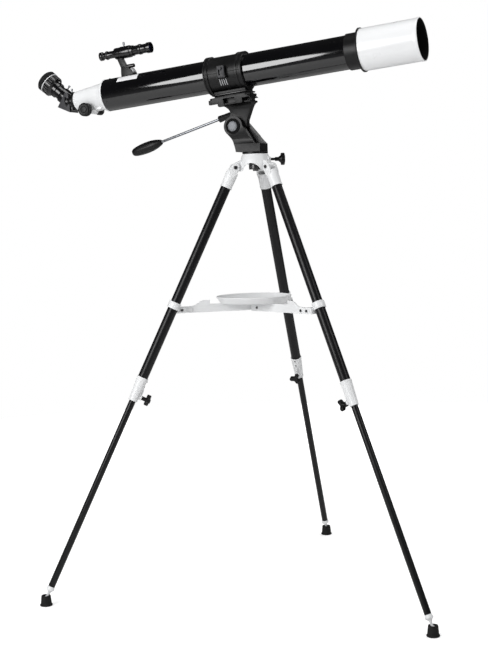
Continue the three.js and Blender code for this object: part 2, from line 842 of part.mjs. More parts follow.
// Brace arm: a plate on edge with an ogee shoulder, a seat for the tray and a riveted inner eye;
// the outer pivot is the origin
function braceArm() {
  const seat = armShoulderHeight - traySeatDrop;
  const riseMiddle = -(armRiseOuter + armRiseInner) / 2;
  const shoulderMiddle = (armHalfDepth + armShoulderHeight) / 2;
  const eyeSlope = -braceLength + seat + armEyeRadius;
  const side = new THREE.Shape()
    .moveTo(0, -armHalfDepth)
    .absarc(0, 0, armHalfDepth, -Math.PI / 2, Math.PI / 2)
    .lineTo(-armRiseOuter, armHalfDepth)
    .quadraticCurveTo((-armRiseOuter + riseMiddle) / 2, armHalfDepth, riseMiddle, shoulderMiddle)
    .quadraticCurveTo((-armRiseInner + riseMiddle) / 2, armShoulderHeight,
      -armRiseInner, armShoulderHeight)
    .lineTo(-traySeatInset, armShoulderHeight)
    .lineTo(-traySeatInset, seat)
    .lineTo(eyeSlope, seat)
    .lineTo(-braceLength, armEyeRadius)
    .absarc(-braceLength, 0, armEyeRadius, Math.PI / 2, (3 * Math.PI) / 2)
    .lineTo(eyeSlope, -armHalfDepth);
  const outerFace = -braceOffset - braceArmThickness / 2;
  const plate = plateInXZ(side, outerFace, outerFace + braceArmThickness);
  const rivet = rodAlongY(armPinHeadRadius, outerFace - armPinHeadHeight, outerFace + fitGap)
    .translate(-braceLength, 0, 0);
  const eye = rodAlongY(hingeBoltRadius + fitGap, 2 * outerFace, 0);
  return cut(join(plate, rivet), eye);
}

// Brace hub: a rounded three-sided block whose faces lie beside the arms
function braceHub() {
  const facing = braceOffset - braceArmThickness / 2 - fitGap;
  const cornerReach = (facing - braceHubCorner) / Math.cos(Math.PI / 3);
  const shape = new THREE.Shape();
  for (let i = 0; i < 3; i += 1) {
    const heading = legHeading(i) - Math.PI / 6;
    shape.absarc(cornerReach * Math.cos(heading), cornerReach * Math.sin(heading),
      braceHubCorner, heading - Math.PI / 3, heading + Math.PI / 3);
  }
  const body = plateInXY(shape, -braceHubHeight / 2, braceHubHeight / 2);
  return cut(body, rodAlongZ(braceHubBoreRadius, -braceHubHeight, braceHubHeight));
}

// Tray: a shallow dish with a rolled rim; its underside is z = 0
function trayDish() {
  return turned([
    [0, 0],
    [trayFoldRadius, 0],
    [trayRadius - trayRimRadius, trayHeight - 2 * trayRimRadius],
    [trayRadius, trayHeight - trayRimRadius],
    [trayRadius, trayHeight],
    [trayRadius - trayWall, trayHeight],
    [trayRadius - trayRimRadius - trayWall, trayHeight - trayRimRadius],
    [trayFoldRadius, trayFloor],
    [0, trayFloor],
  ], wideSteps);
}

// Pan locking knob: a stud, a trumpet neck and a fluted flange along X
function panKnob() {
  const flangeStart = panKnobFace - panKnobFlangeWidth;
  const body = turnedAlongX([
    [0, skirtRadius - panKnobStudDepth + fitGap],
    [panKnobStudRadius, skirtRadius - panKnobStudDepth + fitGap],
    [panKnobStudRadius, panKnobNeckStart],
    [panKnobNeckRadius, panKnobNeckStart],
    [panKnobNeckRadius, (panKnobNeckStart + flangeStart) / 2],
    [(panKnobNeckRadius + panKnobFlangeRadius) / 2, flangeStart - fitGap],
    [panKnobFlangeRadius, flangeStart + fitGap],
    [panKnobFlangeRadius, panKnobFace - fitGap],
    [panKnobFlangeRadius / 2, panKnobFace],
    [0, panKnobFace],
  ]);
  const flutes = aroundZ(panKnobFluteCount, () =>
    rodAlongZ(panKnobFluteRadius, flangeStart - cutOverrun, panKnobFace + cutOverrun)
      .translate(panKnobFlangeRadius + panKnobFluteRadius / 2, 0, 0))
    .map((flute) => flute.rotateY(Math.PI / 2));
  return cut(body, ...flutes);
}

// Places on the head, above the crown of the hub
const panWasherTop = fitGap + panWasherHeight;
const yokeUnderside = panWasherTop + fitGap;
const panNutTop = hubPlateAboveHinge - crownAboveHinge - fitGap;
const tongueHalfWidth = yokeSlotHalfWidth - fitGap;

const panWasher = () => tubeAlongZ(
  panWasherRadius, panBoltRadius + fitGap, fitGap, panWasherTop, wideSteps);

// Pan bolt with its nut under the hub
function panSpigot() {
  return join(
    rodAlongZ(panBoltRadius, panNutTop - panNutHeight, yokeUnderside + panBoltReach),
    rodAlongZ(panNutRadius, panNutTop - panNutHeight, panNutTop, 2 * hexSides),
    rodAlongZ(panNutTipRadius, panNutTop - panNutHeight - panNutTipHeight,
      panNutTop - panNutHeight + fitGap));
}

// One cheek of the yoke with its share of the base
function yokeSide(lugEndAngle, toe, from, to) {
  const lugStart = radians(yokeLugStart);
  const side = new THREE.Shape()
    .moveTo(-yokeBack, 0)
    .quadraticCurveTo(-yokeBack - yokeRearBow, yokeRearBowHeight,
      -tiltPivotBack + yokeLugRadius * Math.cos(lugStart),
      tiltPivotAboveYoke + yokeLugRadius * Math.sin(lugStart))
    .absarc(-tiltPivotBack, tiltPivotAboveYoke, yokeLugRadius, lugStart, lugEndAngle, true)
    .lineTo(toe, yokeBaseHeight)
    .lineTo(yokeFront, yokeBaseHeight)
    .lineTo(yokeFront, 0);
  return plateInXZ(side, from, to);
}

// Yoke: two cheeks on one base, scooped outside, with a slot for the tongue; z = 0 underneath
function yoke() {
  const near = yokeSide(0, yokeToeFront, -yokeHalfWidth, 0);
  const far = yokeSide(radians(yokeFarLugEnd), yokeFront - fitGap, -fitGap, yokeHalfWidth);
  const slot = rodAlongY(yokeSlotRadius, -yokeSlotHalfWidth, yokeSlotHalfWidth, wideSteps)
    .translate(-tiltPivotBack, 0, tiltPivotAboveYoke);
  const opening = block(
    [-tiltPivotBack - 2 * yokeSlotRadius, -yokeSlotHalfWidth, tiltPivotAboveYoke],
    [yokeFront, yokeSlotHalfWidth, tiltPivotAboveYoke + 2 * yokeLugRadius]);
  const chord = Math.sqrt(2 * yokeScoopRadius * yokeScoopDepth - yokeScoopDepth ** 2);
  const scoop = (side) =>
    rodAlongX(yokeScoopRadius, -2 * yokeBack, 2 * yokeFront, wideSteps)
      .translate(0, side * (yokeHalfWidth + yokeScoopRadius - yokeScoopDepth), yokeBaseHeight + chord);
  const axleBore = rodAlongY(tiltAxleRadius + fitGap, -2 * yokeHalfWidth, 2 * yokeHalfWidth, roundSteps)
    .translate(-tiltPivotBack, 0, tiltPivotAboveYoke);
  const boltBore = rodAlongZ(panBoltRadius + fitGap, -cutOverrun, panBoltReach + fitGap);
  return cut(join(near, far), slot, opening, scoop(-1), scoop(1), axleBore, boltBore);
}

// Tilt axle along Y: a wide black flange on the near side, a nut on the far side
function tiltAxle() {
  const face = yokeHalfWidth + fitGap;
  return join(
    rodAlongY(tiltAxleRadius, -face, face + tiltNutHeight, roundSteps),
    rodAlongY(tiltCapRingRadius, -face - tiltCapRingHeight, -face, wideSteps),
    rodAlongY(tiltNutRadius, face, face + tiltNutHeight, hexSides));
}

// Bright cap over the axle's flange
function tiltCap() {
  const back = yokeHalfWidth + tiltCapRingHeight + 2 * fitGap;
  return turned([
    [0, back],
    [tiltCapRadius, back],
    [tiltCapRadius, back + tiltCapHeight - tiltCapRound],
    [tiltCapRadius - tiltCapRound, back + tiltCapHeight],
    [0, back + tiltCapHeight],
  ]).rotateX(Math.PI / 2);
}

const alongHandle = (shape) => shape.rotateY(-radians(handleSlope)).translate(0, 0, handleAbovePivot);

// Tilting head: tongue, handle socket and the platform under the telescope; origin at the pivot
function tiltHead() {
  const plateUnder = opticsAbovePivot - platformTopDrop - platformPlateThickness;
  const shelfUnder = opticsAbovePivot - platformShelfDrop - platformShelfThickness;
  const tongueShape = new THREE.Shape()
    .moveTo(tongueTopFront, plateUnder + fitGap)
    .lineTo(tongueTopFront, shelfUnder)
    .lineTo(tongueSpineFront, tongueSpineHeight)
    .lineTo(tongueFront, tongueKneeHeight)
    .lineTo(tongueFront, tongueKneeHeight - tongueSpineHeight / 2)
    .absarc(0, 0, tongueRadius, radians(tongueArcStart), radians(tongueArcEnd), true)
    .lineTo(-tongueNeckBack, tongueNeckHeight)
    .quadraticCurveTo(-tongueNeckBack - tongueBackBow, shelfUnder - platformShelfThickness,
      -tongueTopBack, shelfUnder)
    .lineTo(-tongueTopBack, plateUnder + fitGap);
  const tongue = plateInXZ(tongueShape, -tongueHalfWidth, tongueHalfWidth);
  const webShape = new THREE.Shape()
    .moveTo(-tongueWebHalfWidth, shelfUnder + platformShelfThickness)
    .lineTo(-tongueWebHalfWidth, shelfUnder)
    .quadraticCurveTo(-tongueHalfWidth, shelfUnder - fitGap, -tongueHalfWidth + fitGap,
      shelfUnder - tongueWebHeight)
    .lineTo(tongueHalfWidth - fitGap, shelfUnder - tongueWebHeight)
    .quadraticCurveTo(tongueHalfWidth, shelfUnder - fitGap, tongueWebHalfWidth, shelfUnder)
    .lineTo(tongueWebHalfWidth, shelfUnder + platformShelfThickness);
  const web = common(
    plateInYZ(webShape, -2 * tongueTopBack, tongueTopFront),
    plateInXZ(tongueShape, -2 * tongueWebHalfWidth, 2 * tongueWebHalfWidth));

  const socket = alongHandle(turnedAlongX([
    [0, -handleSocketEnd],
    [handleSocketRadius, -handleSocketEnd],
    [handleSocketMouthRadius, -handleSocketEnd + handleSocketDepth],
    [handleSocketMouthRadius, 0],
    [0, 0],
  ], smallSteps));
  const rodBore = alongHandle(rodAlongX(handleRodRadius + fitGap,
    -handleSocketEnd - cutOverrun, -handleSocketEnd + handleSocketDepth));

  const corner = platformWallThickness;
  const plateShape = outline([
    [-platformBack + corner, -platformHalfWidth], [-platformFront - corner, -platformHalfWidth],
    [-platformFront, -platformHalfWidth + corner], [-platformFront, platformHalfWidth - corner],
    [-platformFront - corner, platformHalfWidth], [-platformBack + corner, platformHalfWidth],
    [-platformBack, platformHalfWidth - corner], [-platformBack, -platformHalfWidth + corner],
  ]);
  const plateDrop = platformTopDrop + platformPlateThickness;
  const wallShape = outline([
    [-platformBack, -plateDrop + fitGap], [-platformBack, -rearWingDrop],
    [-rearBlockBack, -rearWingDrop], [-rearBlockBack, -rearBlockDrop],
    [-rearBlockFront, -rearBlockDrop], [-rearBlockFront - corner / 3, -plateDrop],
    [-frontBlockBack, -plateDrop], [-frontBlockBack, -platformShelfDrop - platformShelfThickness],
    [-frontBlockFront, -platformShelfDrop - platformShelfThickness],
    [-frontBlockFront, -frontWingDrop], [-platformFront, -frontWingDrop],
    [-platformFront - corner / 2, -plateDrop + fitGap],
  ]);
  const shelfWidth = platformHalfWidth - fitGap;
  const platform = [
    plateInXY(plateShape, -plateDrop, -platformTopDrop),
    plateInXZ(wallShape, -platformHalfWidth, -platformHalfWidth + platformWallThickness),
    plateInXZ(wallShape, platformHalfWidth - platformWallThickness, platformHalfWidth),
    block([-rearBlockFront - fitGap, -shelfWidth, -platformShelfDrop - platformShelfThickness],
      [-frontBlockFront - fitGap, shelfWidth, -platformShelfDrop]),
    block([-rearBlockBack, -platformHalfWidth / 2, -platformShelfDrop - fitGap],
      [-frontBlockFront, platformHalfWidth / 2, -plateDrop + fitGap]),
  ].map((shape) => shape.translate(opticsForward, 0, opticsAbovePivot));

  const axleBore = rodAlongY(tiltAxleRadius + fitGap, -yokeHalfWidth, yokeHalfWidth, roundSteps);
  return cut(join(tongue, web, socket, ...platform), axleBore, rodBore);
}

const handleRod = () => rodAlongX(handleRodRadius,
  -gripStart - gripWallBeyondRod + fitGap, -handleSocketEnd + handleSocketDepth - fitGap);

// Grip: a tapered barrel with long grooves, along -X from the pivot
function handleGrip() {
  const place = (share) => -gripStart - share * gripLength;
  const body = turnedAlongX([
    [0, place(0)],
    ...gripOutlineShares.map(([along, wide]) => [gripRadius * wide, place(along)]),
    [0, place(1)],
  ], 2 * gripGrooveCount);
  const [grooveStart, grooveEnd] = gripGrooveShares.map(place);
  const grooves = aroundZ(gripGrooveCount, () =>
    rodAlongZ(gripGrooveRadius, grooveEnd, grooveStart)
      .translate(gripRadius + gripGrooveRadius / 2, 0, 0))
    .map((groove) => groove.rotateY(Math.PI / 2));
  const bore = rodAlongX(handleRodRadius + fitGap, -gripStart - gripWallBeyondRod, 0);
  return cut(body, bore, ...grooves);
}

// Saddle plate between the platform and the tube ring
function saddlePlate() {
  const under = -platformTopDrop + fitGap;
  const lip = under + saddleLipDrop;
  return join(
    block([-saddleBack + saddleLipInset, -saddleHalfWidth + saddleLipInset, under],
      [-saddleFront - saddleLipInset, saddleHalfWidth - saddleLipInset, lip + fitGap]),
    block([-saddleBack, -saddleHalfWidth, lip], [-saddleFront, saddleHalfWidth,
      under + saddleThickness]));
}

// Tube ring, seen as two halves that meet at the height of the tube's axis
const ringInside = tubeRadius + fitGap;
const ringHingePlace = ringCollarRadius + ringHingeRadius;

function ringBody() {
  const collar = tubeAlongX(ringCollarRadius, ringInside, -ringBack, -ringFront, wideSteps);
  const rib = (back, width) => {
    const grooved = ringRibRadius - ringRibGroove;
    const middle = back + width / 2;
    return turnedAlongX([
      [ringInside, back],
      [ringRibRadius, back],
      [ringRibRadius, middle - ringRibGrooveWidth / 2],
      [grooved, middle - ringRibGrooveWidth / 2],
      [grooved, middle + ringRibGrooveWidth / 2],
      [ringRibRadius, middle + ringRibGrooveWidth / 2],
      [ringRibRadius, back + width],
      [ringInside, back + width],
      [ringInside, back],
    ], wideSteps);
  };
  return join(collar, rib(-ringBack, ringRearRibWidth), rib(-ringFront - ringFrontRibWidth,
    ringFrontRibWidth));
}

// The half space above (side 1) or below (side -1) the joint of the ring
function ringHalfSpace(side) {
  const reach = 2 * ringRibRadius;
  const gap = fitGap / 2;
  return side > 0
    ? block([-2 * ringBack, -reach, gap], [0, reach, reach])
    : block([-2 * ringBack, -reach, -reach], [0, reach, -gap]);
}

function ringHingeKnuckles(side) {
  const length = (ringBack - ringFront) / ringHingeKnuckleCount;
  const shapes = [];
  for (let i = side > 0 ? 1 : 0; i < ringHingeKnuckleCount; i += 2) {
    const from = -ringBack + i * length + fitGap;
    const to = from + length - 2 * fitGap;
    shapes.push(rodAlongX(ringHingeRadius, from, to).translate(0, ringHingePlace, 0));
    const inner = ringCollarRadius - fitGap;
    shapes.push(side > 0
      ? block([from, inner, fitGap / 2], [to, ringHingePlace, ringHingeRadius])
      : block([from, inner, -ringHingeRadius], [to, ringHingePlace, -fitGap / 2]));
  }
  return shapes;
}

function ringLower() {
  const foot = block(
    [-saddleBack + saddleLipInset, -ringFootHalfWidth, -platformTopDrop + saddleThickness + 2 * fitGap],
    [-saddleFront - saddleLipInset, ringFootHalfWidth, -ringInside]);
  const lug = block([-ringLugBack, -ringLugReach, -ringLugHeight],
    [-ringLugBack + ringLugWidth, -ringInside, -fitGap / 2]);
  const latchPlace = ringLugReach + fitGap + latchThickness / 2;
  const ear = (from) => block([from, -latchPlace - latchPinRadius, -ringLugHeight],
    [from + latchPinRadius, -ringInside, -ringLugHeight + 3 * latchPinRadius]);
  const pinHeight = -ringLugHeight + latchPinRise;
  const pinBore = rodAlongX(latchPinRadius / 2 + fitGap, -2 * ringLugBack, 0)
    .translate(0, -latchPlace, pinHeight);
  const gripSpan = ringLugWidth - ringGripRibWidth;
  const gripRibs = Array.from({ length: ringGripRibCount }, (_, i) => {
    const from = -ringLugBack - latchPinRadius + (gripSpan * i) / (ringGripRibCount - 1);
    return common(
      tubeAlongX(ringCollarRadius + ringGripRibReach, ringCollarRadius - fitGap,
        from, from + ringGripRibWidth, wideSteps),
      block([from - fitGap, -2 * ringCollarRadius, -ringGripRibBottomDrop],
        [from + ringGripRibWidth + fitGap, 0, -ringGripRibTopDrop]));
  });
  const half = common(ringBody(), ringHalfSpace(-1));
  const hinge = ringHingeKnuckles(-1);
  const pin = rodAlongX(ringHingePinRadius, -ringBack + fitGap, -ringFront - fitGap)
    .translate(0, ringHingePlace, 0);
  const tubeSpace = rodAlongX(ringInside, -2 * ringBack, 0, wideSteps);
  return cut(join(half, foot, lug, ear(-ringLugBack - latchPinRadius),
    ear(-ringLugBack + ringLugWidth), ...hinge, pin, ...gripRibs), tubeSpace, pinBore);
}

function ringUpper() {
  const half = common(ringBody(), ringHalfSpace(1));
  const lug = block([-ringLugBack, -ringLugReach, fitGap / 2],
    [-ringLugBack + ringLugWidth, -ringInside, ringLugHeight]);
  const pinBore = rodAlongX(ringHingePinRadius + fitGap, -2 * ringBack, 0)
    .translate(0, ringHingePlace, 0);
  const tubeSpace = rodAlongX(ringInside, -2 * ringBack, 0, wideSteps);
  const lowerRoom = (i) => {
    const length = (ringBack - ringFront) / ringHingeKnuckleCount;
    return rodAlongX(ringHingeRadius + fitGap, -ringBack + i * length, -ringBack + (i + 1) * length)
      .translate(0, ringHingePlace, 0);
  };
  const rooms = [];
  for (let i = 0; i < ringHingeKnuckleCount; i += 2) rooms.push(lowerRoom(i));
  return cut(join(cut(half, ...rooms), lug, ...ringHingeKnuckles(1)), pinBore, tubeSpace);
}

// Latch: a slotted plate on trunnions in front of the lugs, with a thumb screw; its pin is the origin
function ringLatch() {
  const width = ringLugWidth - 2 * fitGap;
  const top = ringLugHeight + latchHalfHeight - latchPinRise;
  const half = latchThickness / 2;
  const plate = block([-width / 2, -half, 0], [width / 2, half, top]);
  const eye = rodAlongX(half, -width / 2, width / 2);
  const trunnion = rodAlongX(latchPinRadius / 2, -width / 2 - latchPinRadius, width / 2 + latchPinRadius);
  const screw = rodAlongY(latchScrewRadius, -half - latchScrewRadius, -half + fitGap)
    .translate(0, 0, top - latchScrewInset);
  const slot = block([-latchSlotWidth / 2 - latchScrewRadius, -2 * half, latchScrewRadius],
    [latchSlotWidth / 2 - latchScrewRadius, 2 * half, top - latchScrewRadius]);
  return cut(join(plate, eye, trunnion, screw), slot);
}

// Telescope: X runs along the tube from the pan axis and the optical axis is z = 0
const mainTube = () => tubeAlongX(tubeRadius, tubeRadius - tubeWall, -tubeBack, tubeFront, wideSteps);

const flangeFront = cellFlangeBack + cellFlangeWidth;
const shieldInside = shieldRadius - shieldWall;

function lensCell() {
  const bore = tubeRadius + fitGap;
  const lip = lensRadius - lensSeatWidth;
  const seat = lensRadius + fitGap;
  const bossFront = flangeFront + cellBossLength;
  const bossRadius = shieldInside - fitGap;
  return turnedAlongX([
    [bore, cellBack],
    [bore, tubeFront + fitGap],
    [lip, tubeFront + fitGap],
    [lip, cellFlangeBack],
    [seat, cellFlangeBack],
    [seat, bossFront],
    [bossRadius, bossFront],
    [bossRadius, flangeFront],
    [cellFlangeRadius, flangeFront],
    [cellFlangeRadius, cellFlangeBack],
    [cellRadius, cellFlangeBack],
    [cellRadius, cellBack],
    [bore, cellBack],
  ], wideSteps);
}

// Doublet: a disc with both faces bulging
function objectiveLens() {
  const back = cellFlangeBack + fitGap;
  const front = back + lensThickness;
  const ringRadius = lensRadius * lensRingShare;
  const ringBulge = lensBulge * (1 - lensRingShare ** 2);
  return turnedAlongX([
    [0, back - lensBulge],
    [ringRadius, back - ringBulge],
    [lensRadius - lensSeatWidth, back],
    [lensRadius, back],
    [lensRadius, front],
    [ringRadius, front + ringBulge],
    [0, front + lensBulge],
  ], wideSteps);
}

function dewShield() {
  const from = flangeFront + fitGap;
  return turnedAlongX([
    [shieldInside, from],
    [shieldRadius, from],
    [shieldRadius, shieldEnd - 2 * shieldLipWidth],
    [shieldMouthRadius, shieldEnd - shieldLipWidth],
    [shieldMouthRadius, shieldEnd],
    [shieldInside, shieldEnd],
    [shieldInside, from],
  ], wideSteps);
}

// Heights of the rack and the pinion under the optical axis
const rackRootDrop = drawtubeRadius + rackFoot;
const pitchLineDrop = rackRootDrop + toothHeight / 2;
const pinionDrop = pitchLineDrop + pinionPitchRadius;
const pinionTipRadius = pinionPitchRadius + toothHeight / 3;
const pinionRootRadius = pinionPitchRadius - toothHeight / 2 - fitGap;
const pinionHalfWidth = rackHalfWidth + 2 * fitGap;

function focuserHousing() {
  const bore = drawtubeRadius + fitGap;
  const spigot = tubeRadius - tubeWall - fitGap;
  const bezelBack = tubeBack + housingBezelWidth;
  const boreFront = housingShoulderBack + housingBezelWidth;
  const shell = turnedAlongX([
    [bore, -housingBack],
    [housingBackRadius, -housingBack],
    [housingShoulderRadius, -housingShoulderBack],
    [(housingShoulderRadius + tubeRadius) / 2, -bezelBack - housingBezelWidth / 2],
    [tubeRadius + fitGap, -bezelBack],
    [tubeRadius + fitGap, -tubeBack - fitGap],
    [spigot, -tubeBack - fitGap],
    [spigot, -tubeBack + housingSpigotDepth],
    [housingSpigotRadius, -tubeBack + housingSpigotDepth],
    [housingSpigotRadius, -bezelBack],
    [bore, -boreFront],
    [bore, -housingBack],
  ], wideSteps);
  const saddleRadius = pinionTipRadius + 2 * pinionHalfWidth / 3;
  const saddle = rodAlongY(saddleRadius, -pinionBossHalfWidth, pinionBossHalfWidth, roundSteps)
    .translate(-pinionBack, 0, -pinionDrop);
  const boss = block([-pinionBossBack, -pinionBossHalfWidth, -pinionDrop],
    [-pinionBossFront, pinionBossHalfWidth, -drawtubeRadius / 2]);
  const heelDrop = pinionDrop + saddleRadius - pinionBossHeel;
  const heel = plateInXZ(outline([
    [-pinionBack, -heelDrop],
    [-pinionBossFront - saddleRadius / 2, -heelDrop],
    [-pinionBossFront, -heelDrop + saddleRadius / 2],
    [-pinionBossFront, -drawtubeRadius / 2],
    [-pinionBack, -drawtubeRadius / 2],
  ]), -pinionBossHalfWidth, pinionBossHalfWidth);
  const tubeSpace = rodAlongX(bore, -housingBack - cutOverrun, -bezelBack, wideSteps);
  const frontSpace = rodAlongX(housingSpigotRadius, -bezelBack, 0, wideSteps);
  const channel = block(
    [-housingBack - cutOverrun, -rackHalfWidth - fitGap, -rackRootDrop - toothHeight - fitGap],
    [-bezelBack, rackHalfWidth + fitGap, 0]);
  const gearRoom = rodAlongY(pinionTipRadius + fitGap, -pinionHalfWidth - fitGap,
    pinionHalfWidth + fitGap, roundSteps).translate(-pinionBack, 0, -pinionDrop);
  const shaftBore = rodAlongY(focusShaftRadius + fitGap, -2 * pinionBossHalfWidth,
    2 * pinionBossHalfWidth).translate(-pinionBack, 0, -pinionDrop);
  return cut(join(shell, saddle, boss, heel), tubeSpace, frontSpace, channel, gearRoom, shaftBore);
}

// Drawtube: a tube with a collar behind and a toothed rack underneath
function drawtube() {
  const collarFront = -housingBack - fitGap;
  const body = tubeAlongX(drawtubeRadius, drawtubeBoreRadius, collarFront - drawCollarWidth,
    -drawtubeFront, roundSteps);
  const collar = tubeAlongX(drawCollarRadius, drawtubeBoreRadius, collarFront - drawCollarWidth,
    collarFront, roundSteps);
  const toothHalf = (toothShare * toothPitch) / 2;
  const rackBack = -pinionBack - toothPitch - toothPitch / 2;
  const points = [[rackBack, -drawtubeBoreRadius - fitGap], [rackBack, -rackRootDrop]];
  for (let i = 0; i < rackToothCount; i += 1) {
    const middle = rackBack + (i + 1) * toothPitch;
    const tip = -rackRootDrop - toothHeight;
    points.push(
      [middle - toothHalf - toothFlank, -rackRootDrop],
      [middle - toothHalf + toothFlank / 2, tip],
      [middle + toothHalf - toothFlank / 2, tip],
      [middle + toothHalf + toothFlank, -rackRootDrop]);
  }
  const rackFront = rackBack + rackToothCount * toothPitch + toothPitch / 2;
  points.push([rackFront, -rackRootDrop], [rackFront, -drawtubeBoreRadius - fitGap]);
  const rack = plateInXZ(outline(points), -rackHalfWidth, rackHalfWidth);
  const hollow = rodAlongX(drawtubeBoreRadius, -2 * housingBack, 0, roundSteps);
  return cut(join(body, collar, rack), hollow);
}

// Pinion on its shaft, along Y; one tooth points straight up into the rack
function focusShaft() {
  const shape = new THREE.Shape();
  const toothAngle = (2 * Math.PI) / pinionTeeth;
  const tipHalf = (pinionTipShare * toothPitch) / pinionTipRadius;
  const rootHalf = (pinionRootShare * toothPitch) / pinionRootRadius;
  const points = [];
  for (let i = 0; i < pinionTeeth; i += 1) {
    const middle = Math.PI / 2 + i * toothAngle;
    for (const [radius, shift] of [[pinionRootRadius, -rootHalf], [pinionTipRadius, -tipHalf],
      [pinionTipRadius, tipHalf], [pinionRootRadius, rootHalf]]) {
      points.push([radius * Math.cos(middle + shift), radius * Math.sin(middle + shift)]);
    }
  }
  shape.setFromPoints(points.map(([a, b]) => new THREE.Vector2(a, b)));
  const shaftEnd = focusKnobOuter - focusShaftRadius - fitGap;
  return join(plateInXZ(shape, -pinionHalfWidth, pinionHalfWidth),
    rodAlongY(focusShaftRadius, -shaftEnd, shaftEnd));
}

// Focus knob on the side given by 1 or -1: fluted rim, dished face and a hub
function focusKnob(side, knobRadius) {
  const hubStart = focusKnobInner - focusKnobHubLength;
  const round = focusKnobFluteDepth;
  const rim = new THREE.Shape();
  rim.setFromPoints(Array.from({ length: 2 * focusKnobFluteCount }, (_, i) => {
    const radius = i % 2 ? knobRadius - round : knobRadius;
    const angle = (Math.PI * i) / focusKnobFluteCount;
    return new THREE.Vector2(radius * Math.cos(angle), radius * Math.sin(angle));
  }));
  const hub = turned([
    [0, hubStart],
    [focusKnobHubRadius, hubStart],
    [focusKnobHubRadius, focusKnobOuter - round],
    [0, focusKnobOuter + round],
  ]);
  const dish = rodAlongZ(knobRadius - 3 * round, focusKnobOuter - round,
    focusKnobOuter + cutOverrun, wideSteps);
  const bore = rodAlongZ(focusShaftRadius + fitGap, 0, focusKnobOuter - focusShaftRadius);
  const body = cut(plateInXY(rim, focusKnobInner, focusKnobOuter), dish);
  return cut(join(body, hub), bore).rotateX(side > 0 ? -Math.PI / 2 : Math.PI / 2);
}

// Star diagonal: neck, wedge-shaped body and the socket for the eyepiece
const diagonalFront = -housingBack - drawCollarWidth - 2 * fitGap;
const eyepieceTurn = radians(-eyepieceBend);
const alongEyepiece = (shape) => shape.rotateY(eyepieceTurn).translate(-eyepieceAxisBack, 0, 0);

function diagonalBody() {
  const neckBack = diagonalFront - diagonalNeckWidth;
  const seat = eyepieceBarrelStart - fitGap;
  const neck = rodAlongX(diagonalNeckRadius, neckBack, diagonalFront, wideSteps);
  const port = rodAlongX(diagonalPortRadius, neckBack, diagonalFront + diagonalPortLength, roundSteps);
  const body = plateInXZ(outline([
    [neckBack + fitGap, -diagonalBottom],
    [neckBack - diagonalTail, -diagonalTailDrop],
    [neckBack - diagonalLip, diagonalTop],
    [neckBack + fitGap, diagonalTop],
  ]), -diagonalHalfWidth, diagonalHalfWidth);
  const socket = alongEyepiece(rodAlongZ(eyepieceSocketRadius, seat, eyepieceSocketEnd, roundSteps));
  const lightIn = rodAlongX(diagonalBoreRadius, neckBack - diagonalLip,
    diagonalFront + diagonalPortLength + cutOverrun, roundSteps);
  const lightOut = alongEyepiece(rodAlongZ(eyepieceBarrelRadius + fitGap, seat,
    eyepieceSocketEnd + diagonalTail, wideSteps));
  return cut(join(neck, port, body, socket), lightIn, lightOut);
}

// Eyepiece along Z: barrel, collar and a wide head with a cup
function eyepieceBody() {
  const inside = eyepieceBarrelRadius - eyepieceBarrelWall;
  const cupFloor = eyepieceHeadEnd - eyepieceCupDepth;
  const edge = eyepieceHeadTaper;
  return turned([
    [0, eyepieceHeadStart],
    [inside, eyepieceCollarStart],
    [inside, eyepieceBarrelStart],
    [eyepieceBarrelRadius, eyepieceBarrelStart],
    [eyepieceBarrelRadius, eyepieceCollarStart],
    [eyepieceCollarRadius, eyepieceCollarStart + fitGap],
    [eyepieceCollarRadius, eyepieceHeadStart],
    [eyepieceHeadRadius - edge, eyepieceHeadStart],
    [eyepieceHeadRadius, eyepieceHeadStart + edge],
    [eyepieceHeadRadius, eyepieceHeadEnd - edge],
    [eyepieceHeadRadius - edge, eyepieceHeadEnd],
    [eyepieceCupRadius, eyepieceHeadEnd],
    [eyepieceCupRadius - edge / 2, cupFloor],
    [eyepieceStopRadius, cupFloor],
    [eyepieceStopRadius - edge / 2, cupFloor - edge / 2],
    [0, cupFloor - edge / 2],
  ], wideSteps);
}

// Finder: eye flange, eye tube, focus ring, barrel with a band, and a flared mouth
function finderTube() {
  const round = finderWall;
  const recess = finderEyeTubeRadius - 2 * finderWall;
  return turnedAlongX([
    [0, -finderBack + finderEyeFlangeWidth],
    [recess, -finderBack + finderEyeFlangeWidth],
    [finderEyeTubeRadius, -finderBack],
    [finderEyeFlangeRadius, -finderBack + round],
    [finderEyeFlangeRadius, -finderBack + finderEyeFlangeWidth],
    [finderEyeTubeRadius, -finderBack + finderEyeFlangeWidth + 2 * round],
    [finderEyeTubeRadius, -finderBodyStart - finderFocusRingWidth],
    [finderFocusRingRadius, -finderBodyStart - finderFocusRingWidth + round],
    [finderFocusRingRadius, -finderBodyStart],
    [finderBodyRadius, -finderBodyStart + round],
    [finderBodyRadius, -finderRingBack - round],
    [finderBarrelRadius, -finderRingBack + round],
    [finderBarrelRadius, -finderBandBack - round],
    [finderBandRadius, -finderBandBack],
    [finderBandRadius, -finderBandBack + finderBandWidth],
    [finderBarrelRadius, -finderBandBack + finderBandWidth + round],
    [finderBarrelRadius, -finderFront - finderMouthWidth - round],
    [finderMouthRadius, -finderFront - finderMouthWidth],
    [finderMouthRadius, -finderFront],
    [finderMouthRadius - finderWall, -finderFront],
    [finderMouthRadius - finderWall, -finderFront - finderMouthWidth + round],
    [0, -finderFront - finderMouthWidth],
  ]).translate(0, 0, finderHeight);
}

